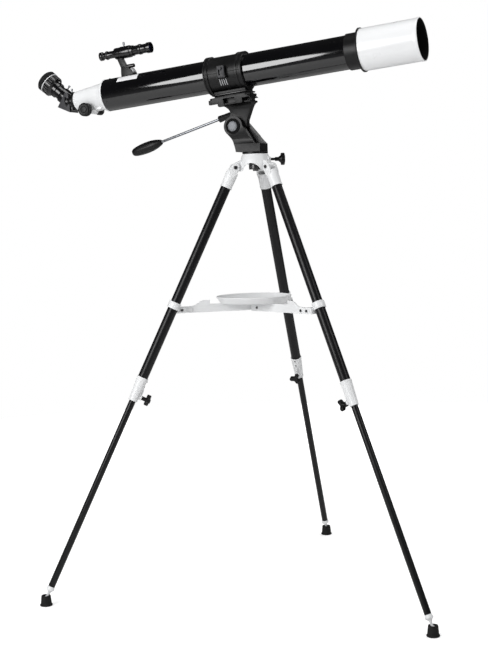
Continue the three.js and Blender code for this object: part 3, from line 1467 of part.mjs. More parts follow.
// Finder bracket: a ring on a leaning stalk, a clamp bolt and a foot that sits on the tube
function finderBracket() {
  const bore = finderBarrelRadius + fitGap;
  const ring = tubeAlongX(finderRingRadius, bore, -finderRingBack, -finderRingFront)
    .translate(0, 0, finderHeight);
  const stalk = plateInXZ(outline([
    [-finderStalkTopBack, finderHeight - bore],
    [-finderStalkBottomBack, finderFootTop - finderKnobRadius],
    [-finderStalkBottomFront, finderFootTop - finderKnobRadius],
    [-finderStalkTopFront, finderHeight - bore],
  ]), -finderStalkHalfWidth, finderStalkHalfWidth);
  const footSide = outline([
    [-finderFootBack, tubeRadius / 2],
    [-finderFootBack, finderFootLip],
    [-finderFootBack + finderWall, finderFootTop],
    [-finderStalkBottomFront + finderKnobRadius, finderFootTop],
    [-finderFootFront, finderFootLip],
    [-finderFootFront, tubeRadius / 2],
  ]);
  const foot = plateInXZ(footSide, -finderFootHalfWidth, finderFootHalfWidth);
  const bolt = rodAlongX(finderKnobRadius, -finderStalkBottomBack, -finderFootFront + finderWall)
    .translate(0, 0, finderFootTop + finderKnobRadius / 2);
  const thumbscrew = rodAlongZ(finderWall, finderHeight + bore,
    finderHeight + finderRingRadius + finderKnobReach)
    .translate((-finderRingBack - finderRingFront) / 2, 0, 0);
  const tubeSpace = rodAlongX(tubeRadius + fitGap, -2 * finderBack, 0, wideSteps);
  const finderSpace = rodAlongX(bore, -2 * finderBack, 0, roundSteps).translate(0, 0, finderHeight);
  return cut(join(ring, stalk, foot, bolt, thumbscrew), tubeSpace, finderSpace);
}

// One leg with its fold, slide, clamp knob, foot and brace arm
function leg(i) {
  const number = i + 1;
  const foot = groupAt(0, 0, -ballAlongLeg, piece(`foot_${number}`, rubberFoot(), footRubber));
  foot.rotation.y = slope;
  const lower = groupAt(0, 0, 0,
    piece(`leg_lower_${number}`, lowerTube(), blackLegPaint),
    piece(`leg_tip_${number}`, legTip(), whitePlastic),
    foot);
  const arm = groupAt(-bracePivotInset, 0, -bracePivotAlongLeg,
    piece(`brace_arm_${number}`, braceArm(), whitePlastic));
  arm.rotation.y = slope;
  const fold = groupAt(hingeRadius, 0, 0,
    piece(`leg_knuckle_${number}`, knuckle(), whitePlastic),
    piece(`leg_upper_${number}`, upperTube(), blackLegPaint),
    piece(`leg_clamp_${number}`, legClamp(), whitePlastic),
    piece(`brace_band_${number}`, braceBand(), whitePlastic),
    groupAt(0, 0, -clampKnobAlongLeg,
      piece(`clamp_knob_${number}`, clampKnob(), blackPlastic)),
    lower, arm);
  fold.rotation.y = -slope;
  const bolt = groupAt(hingeRadius, 0, 0, piece(`hinge_pin_${number}`, hingeBolt(), zincSteel));
  const turned = groupAt(0, 0, hingeHeight, bolt, fold);
  turned.rotation.z = legHeading(i);
  return turned;
}

function stand() {
  const knob = groupAt(0, 0, hingeHeight + panKnobHeight,
    piece('pan_knob', panKnob(), blackPlastic));
  knob.rotation.z = radians(panKnobHeading);
  const trayHeightOnArms = bracePivotHeight + armShoulderHeight - traySeatDrop + fitGap;
  return groupAt(0, 0, 0,
    groupAt(0, 0, hingeHeight, piece('tripod_hub', hubCasting(), whitePlastic)),
    ...Array.from({ length: legCount }, (_, i) => leg(i)),
    groupAt(0, 0, bracePivotHeight, piece('brace_hub', braceHub(), whitePlastic)),
    groupAt(trayShiftX, trayShiftY, trayHeightOnArms, piece('tray', trayDish(), whitePlastic)),
    knob);
}

function telescope() {
  const pinionPlace = groupAt(-pinionBack, 0, -pinionDrop,
    piece('focus_shaft', focusShaft(), brassPinion),
    piece('focus_knob_1', focusKnob(-1, focusKnobRadius), blackPlastic),
    piece('focus_knob_2', focusKnob(1, focusFarKnobRadius), blackPlastic));
  const eyepiecePlace = groupAt(-eyepieceAxisBack, 0, 0,
    piece('eyepiece', eyepieceBody(), blackPlastic));
  eyepiecePlace.rotation.y = eyepieceTurn;
  const latchPlace = groupAt(-ringLugBack + ringLugWidth / 2,
    -ringLugReach - fitGap - latchThickness / 2, -ringLugHeight + latchPinRise,
    piece('ring_latch', ringLatch(), greyPlastic));
  return groupAt(opticsForward, 0, opticsAbovePivot,
    piece('mount_plate', saddlePlate(), blackPlastic),
    piece('ring_lower', ringLower(), blackPlastic),
    piece('ring_upper', ringUpper(), blackPlastic),
    latchPlace,
    piece('main_tube', mainTube(), blackEnamel),
    piece('lens_cell', lensCell(), blackPlastic),
    piece('objective_lens', objectiveLens(), lensGlass),
    piece('dew_shield', dewShield(), whiteEnamel),
    piece('focuser_housing', focuserHousing(), whitePlastic),
    piece('drawtube', drawtube(), blackPlastic),
    pinionPlace,
    piece('diagonal', diagonalBody(), greyPlastic),
    eyepiecePlace,
    piece('finder_tube', finderTube(), blackPlastic),
    piece('finder_bracket', finderBracket(), blackPlastic));
}

function head() {
  const handle = groupAt(0, 0, handleAbovePivot,
    piece('handle_rod', handleRod(), chrome),
    piece('handle_grip', handleGrip(), blackPlastic));
  handle.rotation.y = -radians(handleSlope);
  const tilting = groupAt(-tiltPivotBack, 0, yokeUnderside + tiltPivotAboveYoke,
    piece('tilt_head', tiltHead(), blackPlastic), handle, telescope());
  tilting.rotation.y = -radians(restPitch);
  return groupAt(0, 0, crownHeight,
    piece('pan_disc', panWasher(), blackPlastic),
    piece('pan_spigot', panSpigot(), blackPlastic),
    groupAt(0, 0, yokeUnderside, piece('head_base', yoke(), blackPlastic)),
    groupAt(-tiltPivotBack, 0, yokeUnderside + tiltPivotAboveYoke,
      piece('tilt_axle', tiltAxle(), blackPlastic),
      piece('tilt_cap', tiltCap(), zincSteel)),
    tilting);
}

// The whole object, moved so that its bounding box stands on z = 0 about the Z axis
const telescopeOnStand = new THREE.Group();
telescopeOnStand.add(stand(), head());
telescopeOnStand.updateMatrixWorld(true);
const bounds = new THREE.Box3().setFromObject(telescopeOnStand, true);
const middle = bounds.getCenter(new THREE.Vector3());
telescopeOnStand.position.set(-middle.x, -middle.y, -bounds.min.z);
telescopeOnStand.updateMatrixWorld(true);

export default telescopeOnStand;
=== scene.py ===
import json
import math

import bmesh
import bpy
from mathutils import Matrix, Vector


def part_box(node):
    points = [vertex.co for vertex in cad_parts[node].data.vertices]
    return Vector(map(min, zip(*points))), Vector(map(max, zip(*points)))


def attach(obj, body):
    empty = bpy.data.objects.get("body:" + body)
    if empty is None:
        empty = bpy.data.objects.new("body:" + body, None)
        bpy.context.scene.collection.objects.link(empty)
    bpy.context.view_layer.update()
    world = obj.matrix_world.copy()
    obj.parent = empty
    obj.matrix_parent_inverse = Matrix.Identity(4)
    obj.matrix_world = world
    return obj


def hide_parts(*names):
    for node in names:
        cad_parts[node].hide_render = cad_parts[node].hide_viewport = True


bl_info = {
    "name": "Telescope on Tripod",
    "version": (1, 0, 0),
    "blender": (4, 5, 0),
    "location": "View3D > Sidebar > Telescope",
    "description": "Dresses the packed telescope and its stand with smooth pieces and finishes",
    "category": "Object",
}

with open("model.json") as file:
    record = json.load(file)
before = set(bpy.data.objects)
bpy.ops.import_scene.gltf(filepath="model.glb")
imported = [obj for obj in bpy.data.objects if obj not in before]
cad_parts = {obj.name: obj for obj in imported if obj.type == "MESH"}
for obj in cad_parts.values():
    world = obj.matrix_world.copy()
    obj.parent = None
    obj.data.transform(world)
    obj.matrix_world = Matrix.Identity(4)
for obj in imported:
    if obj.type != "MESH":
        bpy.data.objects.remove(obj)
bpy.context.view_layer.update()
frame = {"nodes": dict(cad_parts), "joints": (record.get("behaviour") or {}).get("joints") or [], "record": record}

MM = 0.001
LEGS = (1, 2, 3)

# In millimetres: the hub's crown over the leg hinges, and the room for the friction washer
CROWN_HEIGHT = 30.5
WASHER_ROOM = 4.6

joints = {joint["name"]: joint for joint in frame["joints"]}


# Places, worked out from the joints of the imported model

def joint_place(name):
    return Vector(joints[name]["pos_m"])


def joint_way(name):
    return Vector(joints[name]["axis"]).normalized()


def axes_at(place, along_x, along_y):
    """A frame at a place, from the ways its X and Y axes point."""
    x = along_x.normalized()
    z = x.cross(along_y).normalized()
    y = z.cross(x)
    turn = Matrix((x, y, z)).transposed().to_4x4()
    return Matrix.Translation(place) @ turn


def leg_axes(number):
    """X points away from the other legs, Z runs up the leg, and the leg's hinge is at the origin."""
    up = joint_way(f"leg_extend_{number}")
    side = joint_way(f"leg_fold_{number}")
    return axes_at(joint_place(f"leg_fold_{number}"), side.cross(up), side)


def upright_axes(number, place):
    """X points away from the other legs, level, and Z is straight up."""
    side = joint_way(f"leg_fold_{number}")
    return axes_at(place, side.cross(Vector((0, 0, 1))), side)


def telescope_axes():
    """X runs along the optical axis from over the pan axis."""
    along = -joint_way("focus")
    on_axis = joint_place("diagonal_turn")
    back = (joint_place("pan") - on_axis).dot(Vector((1, 0, 0))) / along.x
    return axes_at(on_axis + along * back, along, -joint_way("tilt"))


def pan_axes():
    """Z is the pan axis, from the floor up."""
    place = joint_place("pan")
    return Matrix.Translation((place.x, place.y, 0))


# Sizes and colours that a user would change

def length(name, description, default):
    return bpy.props.FloatProperty(name=name, description=description, default=default, unit="LENGTH")


def colour(name, description, default):
    return bpy.props.StringProperty(name=name, description=description, default=default)


class TelescopeColours(bpy.types.PropertyGroup):
    white: colour("White", "Moulded white parts, as an sRGB hex value", "#e6e7e8")
    shield: colour("Dew shield", "Enamel of the dew shield, as an sRGB hex value", "#f1f2f3")
    tube: colour("Tube", "Enamel of the main tube, as an sRGB hex value", "#050507")
    legs: colour("Leg tubes", "Paint of the leg tubes, as an sRGB hex value", "#101012")
    black: colour("Black plastic", "Moulded black parts, as an sRGB hex value", "#0a0a0b")
    grey: colour("Grey plastic", "Side plates of the diagonal, as an sRGB hex value", "#38383b")
    rubber: colour("Rubber", "Feet and eye cup, as an sRGB hex value", "#0e0e0e")


class TelescopeSizes(bpy.types.PropertyGroup):
    edge: length("Edge rounding", "Rounding along the edges of the moulded parts", 0.6 * MM)
    screw_radius: length("Screw radius", "Radius of a small screw's head", 2.2 * MM)
    rib_radius: length("Rib radius", "Radius of the grip ribs round a knob", 0.9 * MM)


class TelescopeStage(bpy.types.PropertyGroup):
    camera_place: bpy.props.FloatVectorProperty(
        name="Camera", description="Where the camera stands", subtype="TRANSLATION", size=3,
        default=(1.23306, -2.96628, 0.9046))
    azimuth: bpy.props.FloatProperty(
        name="Azimuth", description="Heading of the camera round the object", subtype="ANGLE",
        default=math.radians(23.32))
    elevation: bpy.props.FloatProperty(
        name="Elevation", description="How far the camera looks down", subtype="ANGLE",
        default=math.radians(5.341))
    roll: bpy.props.FloatProperty(
        name="Roll", description="Roll of the camera about its view", subtype="ANGLE",
        default=math.radians(-1.651))
    lens: bpy.props.FloatProperty(
        name="Lens", description="Focal length on a 36 mm high sensor, in millimetres",
        default=75.12)
    backdrop: colour("Backdrop", "Floor and backdrop, as an sRGB hex value", "#ffffff")


def sizes():
    return bpy.context.scene.telescope_sizes


# Materials

def linear(hex_colour, alpha=1.0):
    """An sRGB hex value as the linear colour that shader sockets hold."""
    def channel(start):
        value = int(hex_colour[start:start + 2], 16) / 255
        return value / 12.92 if value <= 0.04045 else ((value + 0.055) / 1.055) ** 2.4
    return (channel(1), channel(3), channel(5), alpha)


def add_node(tree, kind, values=None, links=None, **settings):
    """Adds a node with its settings, its sockets' values and the links into it."""
    node = tree.nodes.new(kind)
    for key, value in settings.items():
        setattr(node, key, value)
    for socket, value in (values or {}).items():
        node.inputs[socket].default_value = value
    for socket, source in (links or {}).items():
        tree.links.new(source, node.inputs[socket])
    return node


def new_material(name):
    """An empty material with a principled shader."""
    material = bpy.data.materials.new(name)
    material.use_nodes = True
    material.node_tree.nodes.clear()
    shader = add_node(material.node_tree, "ShaderNodeBsdfPrincipled")
    add_node(material.node_tree, "ShaderNodeOutputMaterial", links={"Surface": shader.outputs["BSDF"]})
    return material, shader


def mottle(material, shader, light, dark, patch, low, high):
    """Cloudy change of colour and gloss over patches of a real size."""
    place = add_node(material.node_tree, "ShaderNodeTexCoord")
    cloud = add_node(material.node_tree, "ShaderNodeTexNoise",
                     {"Scale": 1 / patch, "Detail": 4.0, "Roughness": 0.6},
                     {"Vector": place.outputs["Object"]})
    ramp = add_node(material.node_tree, "ShaderNodeValToRGB", links={"Fac": cloud.outputs["Fac"]})
    ramp.color_ramp.elements[0].position = 0.3
    ramp.color_ramp.elements[1].position = 0.7
    ramp.color_ramp.elements[0].color = dark
    ramp.color_ramp.elements[1].color = light
    gloss = add_node(material.node_tree, "ShaderNodeMapRange", {"To Min": low, "To Max": high},
                     {"Value": cloud.outputs["Fac"]})
    links = material.node_tree.links
    links.new(ramp.outputs["Color"], shader.inputs["Base Color"])
    links.new(gloss.outputs["Result"], shader.inputs["Roughness"])
    return place


def grain(material, shader, place, size, depth, strength):
    """Raised grain of a real size and depth, in metres."""
    bumps = add_node(material.node_tree, "ShaderNodeTexNoise",
                     {"Scale": 1 / size, "Detail": 2.0, "Roughness": 0.5},
                     {"Vector": place.outputs["Object"]})
    relief = add_node(material.node_tree, "ShaderNodeBump", {"Strength": strength, "Distance": depth},
                      {"Height": bumps.outputs["Fac"]})
    material.node_tree.links.new(relief.outputs["Normal"], shader.inputs["Normal"])


def shade(hex_colour, share):
    """A hex colour turned linear and made lighter or darker."""
    red, green, blue, alpha = linear(hex_colour)
    return (red * share, green * share, blue * share, alpha)


def finished(name, light, dark, patch, low, high, relief=None, **settings):
    """A finish that clouds between two colours and two glosses; its relief is size, depth, strength."""
    material, shader = new_material(name)
    for socket_name, value in settings.items():
        shader.inputs[socket_name.replace("_", " ")].default_value = value
    place = mottle(material, shader, light, dark, patch, low, high)
    if relief:
        grain(material, shader, place, *relief)
    return name, material


def moulded(name, hex_colour, ior, low, high, patch, relief, contrast, mirror=0.5):
    """A moulded plastic: its colour clouds faintly and its skin has a fine grain."""
    return finished(name, shade(hex_colour, 1 + contrast / 2), shade(hex_colour, 1 - contrast),
                    patch, low, high, relief, IOR=ior, Specular_IOR_Level=mirror)


def make_finishes():
    """All finishes by the name of the real one."""
    colours = bpy.context.scene.telescope_colours
    dull_mirror = 0.3
    made = (
        # Injection moulded, half gloss: the light rolls softly over its edges
        moulded("white_abs", colours.white, 1.54, 0.3, 0.42, 60 * MM,
                (0.9 * MM, 0.02 * MM, 0.25), 0.04),
        # Spark-eroded mould: a fine matte grain that greys the highlights
        moulded("black_nylon", colours.black, 1.53, 0.34, 0.5, 30 * MM,
                (0.7 * MM, 0.05 * MM, 0.5), 0.25, dull_mirror),
        # The same with a fuller grain, on the diagonal's side plates and the latch
        moulded("grey_abs", colours.grey, 1.54, 0.42, 0.55, 20 * MM,
                (0.6 * MM, 0.05 * MM, 0.5), 0.15, dull_mirror),
        # Soft and dull, with a dusty bloom
        moulded("moulded_rubber", colours.rubber, 1.52, 0.62, 0.8, 14 * MM,
                (0.8 * MM, 0.08 * MM, 0.6), 0.35, 0.35),
        # Polished mould: glossy black that mirrors the lamps with crisp edges
        moulded("gloss_abs", "#0b0b0d", 1.54, 0.12, 0.2, 25 * MM,
                (1.5 * MM, 0.01 * MM, 0.3), 0.2),
        # Light grey insert parts with a satin skin
        moulded("pale_abs", "#a9aaac", 1.54, 0.38, 0.5, 15 * MM,
                (0.7 * MM, 0.03 * MM, 0.4), 0.08),
        # Blackened steel: dark, with a faint metallic sheen
        moulded("black_oxide", "#1a1a1c", 1.9, 0.25, 0.4, 4 * MM,
                (0.6 * MM, 0.02 * MM, 0.4), 0.2),
        # Semi-gloss stove paint on steel tube: a faint orange peel
        moulded("stoved_paint", colours.legs, 1.5, 0.3, 0.4, 40 * MM,
                (2.2 * MM, 0.03 * MM, 0.35), 0.2, dull_mirror),
        # Black stoving enamel, hard and smooth: mirrors the lamps as long clean streaks
        finished("black_enamel", shade(colours.tube, 1.2), shade(colours.tube, 0.7), 80 * MM,
                 0.06, 0.1, (5 * MM, 0.01 * MM, 0.15), IOR=1.7),
        # White enamel: a hard clean gloss over a slightly uneven coat
        finished("white_enamel", shade(colours.shield, 1.0), shade(colours.shield, 0.97), 90 * MM,
                 0.24, 0.32, (4 * MM, 0.02 * MM, 0.15), IOR=1.5, Coat_Weight=0.3,
                 Coat_Roughness=0.12),
        # Bright chrome over steel: faint polishing marks in the gloss
        finished("bright_chrome", linear("#85878b"), linear("#6c6e72"), 6 * MM, 0.14, 0.26,
                 Metallic=1.0),
        # Zinc plate: greyer and softer than chrome, with a crystalline cloud
        finished("zinc_plate", linear("#8f9194"), linear("#7c7e82"), 3 * MM, 0.55, 0.65,
                 (0.8 * MM, 0.02 * MM, 0.3), Metallic=1.0),
        # Turned brass: warm, with the gloss of a fine cut
        finished("turned_brass", linear("#c9a45a"), linear("#a8823d"), 2 * MM, 0.22, 0.34,
                 Metallic=1.0),
        # Magnesium fluoride coating on crown glass: dark with a blue sheen
        finished("coated_glass", linear("#121a30"), linear("#0a1020"), 40 * MM, 0.02, 0.04,
                 IOR=1.52, Coat_Weight=1.0, Coat_Roughness=0.01, Coat_Tint=linear("#8ea6ff")),
        # Flat black paint inside the tubes: swallows stray light
        finished("flat_black_paint", linear("#0b0b0c"), linear("#050506"), 10 * MM, 0.8, 0.95,
                 (0.8 * MM, 0.05 * MM, 0.5), Specular_IOR_Level=0.25),
        # White vinyl sheet: satin, a little greyer than the enamel
        finished("blank_vinyl", linear("#e9e9ea"), linear("#dcdcdf"), 12 * MM, 0.4, 0.5))
    return dict(made)


finishes = {}


def wear(obj, finish):
    """Gives an object one finish."""
    obj.data.materials.clear()
    obj.data.materials.append(finishes[finish])


# Shapes in millimetres, in a piece's own axes

def arc(x, y, radius, start, end, steps=16):
    """Points of an arc, from one angle to another in degrees."""
    angles = (math.radians(start + (end - start) * i / steps) for i in range(steps + 1))
    return [(x + radius * math.cos(angle), y + radius * math.sin(angle)) for angle in angles]


def curve(start, control, end, steps=12):
    """Points of a quadratic curve after its start."""
    points = []
    for i in range(1, steps + 1):
        share = i / steps
        points.append(tuple((1 - share) ** 2 * a + 2 * share * (1 - share) * b + share ** 2 * c
                            for a, b, c in zip(start, control, end)))
    return points


def softened(points, radius, closed=False, steps=4):
    """The same outline with its corners rounded, as far as its sides allow."""
    corners = [Vector(point) for point in points]
    result = []
    for i, corner in enumerate(corners):
        if not closed and i in (0, len(corners) - 1):
            result.append(tuple(corner))
            continue
        before = corners[i - 1] - corner
        after = corners[(i + 1) % len(corners)] - corner
        reach = min(radius, before.length * 0.45, after.length * 0.45)
        start = corner + before.normalized() * reach
        end = corner + after.normalized() * reach
        for step in range(steps + 1):
            share = step / steps
            result.append(tuple(start.lerp(corner, share).lerp(corner.lerp(end, share), share)))
    return result


def turned(profile, steps=96):
    """A profile of (radius, height) turned about Z. It ends on the axis or where it began."""
    shape = bmesh.new()
    ring_of = {}
    rings = []
    for radius, height in profile:
        key = (round(radius, 4), round(height, 4))
        if key not in ring_of:
            if radius < 0.001:
                ring_of[key] = [shape.verts.new((0, 0, height))]
            else:
                angles = [math.tau * i / steps for i in range(steps)]
                ring_of[key] = [shape.verts.new((radius * math.cos(a), radius * math.sin(a), height))
                                for a in angles]
        rings.append(ring_of[key])
    for low, high in zip(rings, rings[1:]):
        if low is high or len(low) + len(high) == 2:
            continue
        for i in range(steps):
            j = (i + 1) % steps
            corners = [low[i % len(low)], low[j % len(low)], high[j % len(high)], high[i % len(high)]]
            shape.faces.new(list(dict.fromkeys(corners)))
    bmesh.ops.recalc_face_normals(shape, faces=shape.faces)
    return shape


def moved(shape, *places):
    """The shape put at its place; the last of several is the innermost."""
    for place in reversed(places):
        shape.transform(place)
    return shape


def shift(x=0.0, y=0.0, z=0.0):
    return Matrix.Translation((x, y, z))


def rotation(degrees, axis):
    return Matrix.Rotation(math.radians(degrees), 4, axis)


# Z of a shape laid along X or Y, and a flat outline stood up facing Y or X
ALONG_X = rotation(90, "Y")
ALONG_Y = rotation(-90, "X")
FACING_Y = rotation(90, "X")
FACING_X = Matrix(((0, 0, 1, 0), (1, 0, 0, 0), (0, 1, 0, 0), (0, 0, 0, 1)))
UNIT = Matrix.Scale(MM, 4)


def solid(profile, round_off=0.5, steps=96):
    """A turned solid with softened corners. Its profile starts and ends on the axis."""
    return turned(softened(profile, round_off), steps)


def sleeve(profile, round_off=0.5, steps=96):
    """A turned wall with softened corners. Its profile is a closed loop."""
    loop = softened(profile, round_off, closed=True)
    return turned(loop + loop[:1], steps)


def tube(outer, inner, low, high, round_off=0.3, steps=96):
    return sleeve([(inner, low), (outer, low), (outer, high), (inner, high)], round_off, steps)


def bar(radius, low, high, round_off=0.4, steps=48):
    return solid([(0, low), (radius, low), (radius, high), (0, high)], round_off, steps)


def slab(outline, low, high):
    """A flat outline in X and Y, from one height to another."""
    shape = bmesh.new()
    face = shape.faces.new([shape.verts.new((x, y, low)) for x, y in outline])
    lifted = bmesh.ops.extrude_face_region(shape, geom=[face])
    bmesh.ops.translate(shape, vec=(0, 0, high - low),
                        verts=[v for v in lifted["geom"] if isinstance(v, bmesh.types.BMVert)])
    bmesh.ops.recalc_face_normals(shape, faces=shape.faces)
    return shape


def plate(outline, start, end):
    """An outline in X and Z, from one place to another along Y."""
    return moved(slab(outline, -end, -start), FACING_Y)


def block(low, high):
    """A block between two corners. It is only ever part of a piece, or cuts one."""
    (x0, y0, z0), (x1, y1, z1) = low, high
    return slab([(x0, y0), (x1, y0), (x1, y1), (x0, y1)], z0, z1)


def half(shape, height, side):
    """The part of a closed shape above (side 1) or below (side -1) a height."""
    everything = shape.verts[:] + shape.edges[:] + shape.faces[:]
    bmesh.ops.bisect_plane(shape, geom=everything, plane_co=(0, 0, height),
                           plane_no=(0, 0, side), clear_inner=True)
    rim = [edge for edge in shape.edges if edge.is_boundary]
    bmesh.ops.holes_fill(shape, edges=rim)
    bmesh.ops.recalc_face_normals(shape, faces=shape.faces)
    return shape


def together(*shapes):
    """Several shapes as one."""
    whole = bmesh.new()
    for shape in shapes:
        part = bpy.data.meshes.new("part")
        shape.to_mesh(part)
        shape.free()
        whole.from_mesh(part)
        bpy.data.meshes.remove(part)
    return whole


# Pieces

def settle(obj, sharp=38):
    """Puts the modifiers into the mesh and smooths it between its sharp edges."""
    bpy.context.view_layer.update()
    graph = bpy.context.evaluated_depsgraph_get()
    mesh = bpy.data.meshes.new_from_object(obj.evaluated_get(graph))
    obj.modifiers.clear()
    obj.data = mesh
    mesh.name = obj.name
    mesh.shade_smooth()
    mesh.set_sharp_from_angle(angle=math.radians(sharp))


def new_object(name, shape, finish):
    mesh = bpy.data.meshes.new(name)
    shape.to_mesh(mesh)
    shape.free()
    obj = bpy.data.objects.new(name, mesh)
    bpy.context.scene.collection.objects.link(obj)
    wear(obj, finish)
    return obj


def round_edges(obj, width):
    bevel = obj.modifiers.new("rounding", "BEVEL")
    bevel.width = width
    bevel.segments = 3
    bevel.limit_method = "ANGLE"
    bevel.angle_limit = math.radians(42)
    bevel.use_clamp_overlap = True


def add_piece(name, shape, place, finish, edge=0.0, cuts=()):
    """A shape in millimetres as an object, with its place in its mesh, after its cuts and rounding."""
    obj = new_object(name, moved(shape, place, UNIT), finish)
    tools = [new_object("tool", moved(cut, place, UNIT), finish) for cut in cuts]
    for tool in tools:
        removal = obj.modifiers.new("cut", "BOOLEAN")
        removal.operation = "DIFFERENCE"
        removal.solver = "EXACT"
        removal.object = tool
    if edge:
        round_edges(obj, edge * MM)
    settle(obj)
    for tool in tools:
        bpy.data.objects.remove(tool)
    return obj


def casting(node, name, finish, edge):
    """A copy of a node's solid with its corners merged, its flats made whole and its edges rounded."""
    shape = bmesh.new()
    shape.from_mesh(frame["nodes"][node].data)
    bmesh.ops.remove_doubles(shape, verts=shape.verts, dist=0.02 * MM)
    bmesh.ops.dissolve_limit(shape, angle_limit=math.radians(1), verts=shape.verts, edges=shape.edges)
    obj = new_object(name, shape, finish)
    round_edges(obj, edge)
    settle(obj)
    return obj


def line_inside(obj, place, radius, finish):
    """Gives the faces nearer than a radius to the place's Z axis another finish."""
    obj.data.materials.append(finishes[finish])
    axes = (place @ UNIT).inverted()
    for face in obj.data.polygons:
        centre = axes @ face.center
        if math.hypot(centre.x, centre.y) < radius:
            face.material_index = 1


# What each piece rides on

body_of_node = {node: body for body, nodes in frame["record"]["behaviour"]["bodies"].items()
                for node in nodes}


def stand_for(obj, *nodes):
    """A piece that takes the place of nodes on one body."""
    ride_with(obj, nodes[0])
    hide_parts(*nodes)
    return obj


def ride_with(obj, node):
    """A piece that moves with a node and hides nothing."""
    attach(obj, body_of_node[node])
    return obj


def cast(node, finish):
    return stand_for(casting(node, node + "_casting", finish, sizes().edge), node)


# Geometry Nodes

def socket(tree, name, kind, default):
    entry = tree.interface.new_socket(name=name, in_out="INPUT", socket_type=kind)
    entry.default_value = default
    return entry


def end_tree(tree, geometry, finish):
    """Makes the copies real, gives them their finish and hands them out."""
    real = add_node(tree, "GeometryNodeRealizeInstances", links={"Geometry": geometry})
    dressed = add_node(tree, "GeometryNodeSetMaterial", links={
        "Geometry": real.outputs["Geometry"], "Material": finish})
    add_node(tree, "NodeGroupOutput", links={"Geometry": dressed.outputs["Geometry"]})


def rib_tree():
    """Round ribs along Z, spread evenly round a circle."""
    tree = bpy.data.node_groups.new("ribs_round", "GeometryNodeTree")
    socket(tree, "Count", "NodeSocketInt", 24)
    for name in ("Ring Radius", "Rib Radius", "Low", "High"):
        socket(tree, name, "NodeSocketFloat", 0.01)
    tree.interface.new_socket(name="Finish", in_out="INPUT", socket_type="NodeSocketMaterial")
    tree.interface.new_socket(name="Geometry", in_out="OUTPUT", socket_type="NodeSocketGeometry")
    sockets = add_node(tree, "NodeGroupInput").outputs
    circle = add_node(tree, "GeometryNodeMeshCircle", links={
        "Vertices": sockets["Count"], "Radius": sockets["Ring Radius"]})
    height = add_node(tree, "ShaderNodeMath", links={0: sockets["High"], 1: sockets["Low"]},
                      operation="SUBTRACT")
    rib = add_node(tree, "GeometryNodeMeshCylinder", {"Vertices": 10}, {
        "Radius": sockets["Rib Radius"], "Depth": height.outputs[0]})
    both = add_node(tree, "ShaderNodeMath", links={0: sockets["High"], 1: sockets["Low"]},
                    operation="ADD")
    middle = add_node(tree, "ShaderNodeMath", {1: 0.5}, {0: both.outputs[0]}, operation="MULTIPLY")
    lift = add_node(tree, "ShaderNodeCombineXYZ", links={"Z": middle.outputs[0]})
    copies = add_node(tree, "GeometryNodeInstanceOnPoints", links={
        "Points": circle.outputs["Mesh"], "Instance": rib.outputs["Mesh"]})
    raised = add_node(tree, "GeometryNodeSetPosition", links={
        "Geometry": copies.outputs["Instances"], "Offset": lift.outputs["Vector"]})
    end_tree(tree, raised.outputs["Geometry"], sockets["Finish"])
    return tree


def screw_tree():
    """Cross-recessed screw heads on the points of a mesh, each along its point's own way."""
    tree = bpy.data.node_groups.new("screws_on_points", "GeometryNodeTree")
    tree.interface.new_socket(name="Geometry", in_out="INPUT", socket_type="NodeSocketGeometry")
    for name in ("Head Radius", "Head Height", "Recess Width"):
        socket(tree, name, "NodeSocketFloat", 0.002)
    tree.interface.new_socket(name="Finish", in_out="INPUT", socket_type="NodeSocketMaterial")
    tree.interface.new_socket(name="Geometry", in_out="OUTPUT", socket_type="NodeSocketGeometry")
    sockets = add_node(tree, "NodeGroupInput").outputs
    top = add_node(tree, "ShaderNodeMath", {1: 0.62}, {0: sockets["Head Radius"]},
                   operation="MULTIPLY")
    head = add_node(tree, "GeometryNodeMeshCone", {"Vertices": 20}, {
        "Radius Top": top.outputs[0], "Radius Bottom": sockets["Head Radius"],
        "Depth": sockets["Head Height"]})
    bars = []
    for along in (0, 1):
        size = add_node(tree, "ShaderNodeCombineXYZ", links={
            along: sockets["Head Radius"], 1 - along: sockets["Recess Width"],
            2: sockets["Head Height"]})
        bar_mesh = add_node(tree, "GeometryNodeMeshCube", links={"Size": size.outputs["Vector"]})
        lift = add_node(tree, "ShaderNodeCombineXYZ", links={"Z": sockets["Head Height"]})
        bars.append(add_node(tree, "GeometryNodeTransform", links={
            "Geometry": bar_mesh.outputs["Mesh"], "Translation": lift.outputs["Vector"]}))
    recessed = add_node(tree, "GeometryNodeMeshBoolean", operation="DIFFERENCE", solver="EXACT")
    tree.links.new(head.outputs["Mesh"], recessed.inputs[0])
    for bar_mesh in bars:
        tree.links.new(bar_mesh.outputs["Geometry"], recessed.inputs["Mesh 2"])
    way = add_node(tree, "GeometryNodeInputNamedAttribute", {"Name": "way"}, data_type="FLOAT_VECTOR")
    facing = add_node(tree, "FunctionNodeAlignRotationToVector",
                      links={"Vector": way.outputs["Attribute"]}, axis="Z")
    copies = add_node(tree, "GeometryNodeInstanceOnPoints", links={
        "Points": sockets["Geometry"], "Instance": recessed.outputs["Mesh"],
        "Rotation": facing.outputs["Rotation"]})
    end_tree(tree, copies.outputs["Instances"], sockets["Finish"])
    return tree


trees = {}


def grow(obj, tree_name, make, place, **inputs):
    """Runs a tree on an object, keeps its result as a plain mesh and puts that at its place."""
    if tree_name not in trees:
        trees[tree_name] = make()
    tree = trees[tree_name]
    modifier = obj.modifiers.new("nodes", "NODES")
    modifier.node_group = tree
    for entry in tree.interface.items_tree:
        key = entry.name.lower().replace(" ", "_")
        if entry.in_out == "INPUT" and key in inputs:
            modifier[entry.identifier] = inputs[key]
    settle(obj)
    obj.data.transform(place)
    return obj


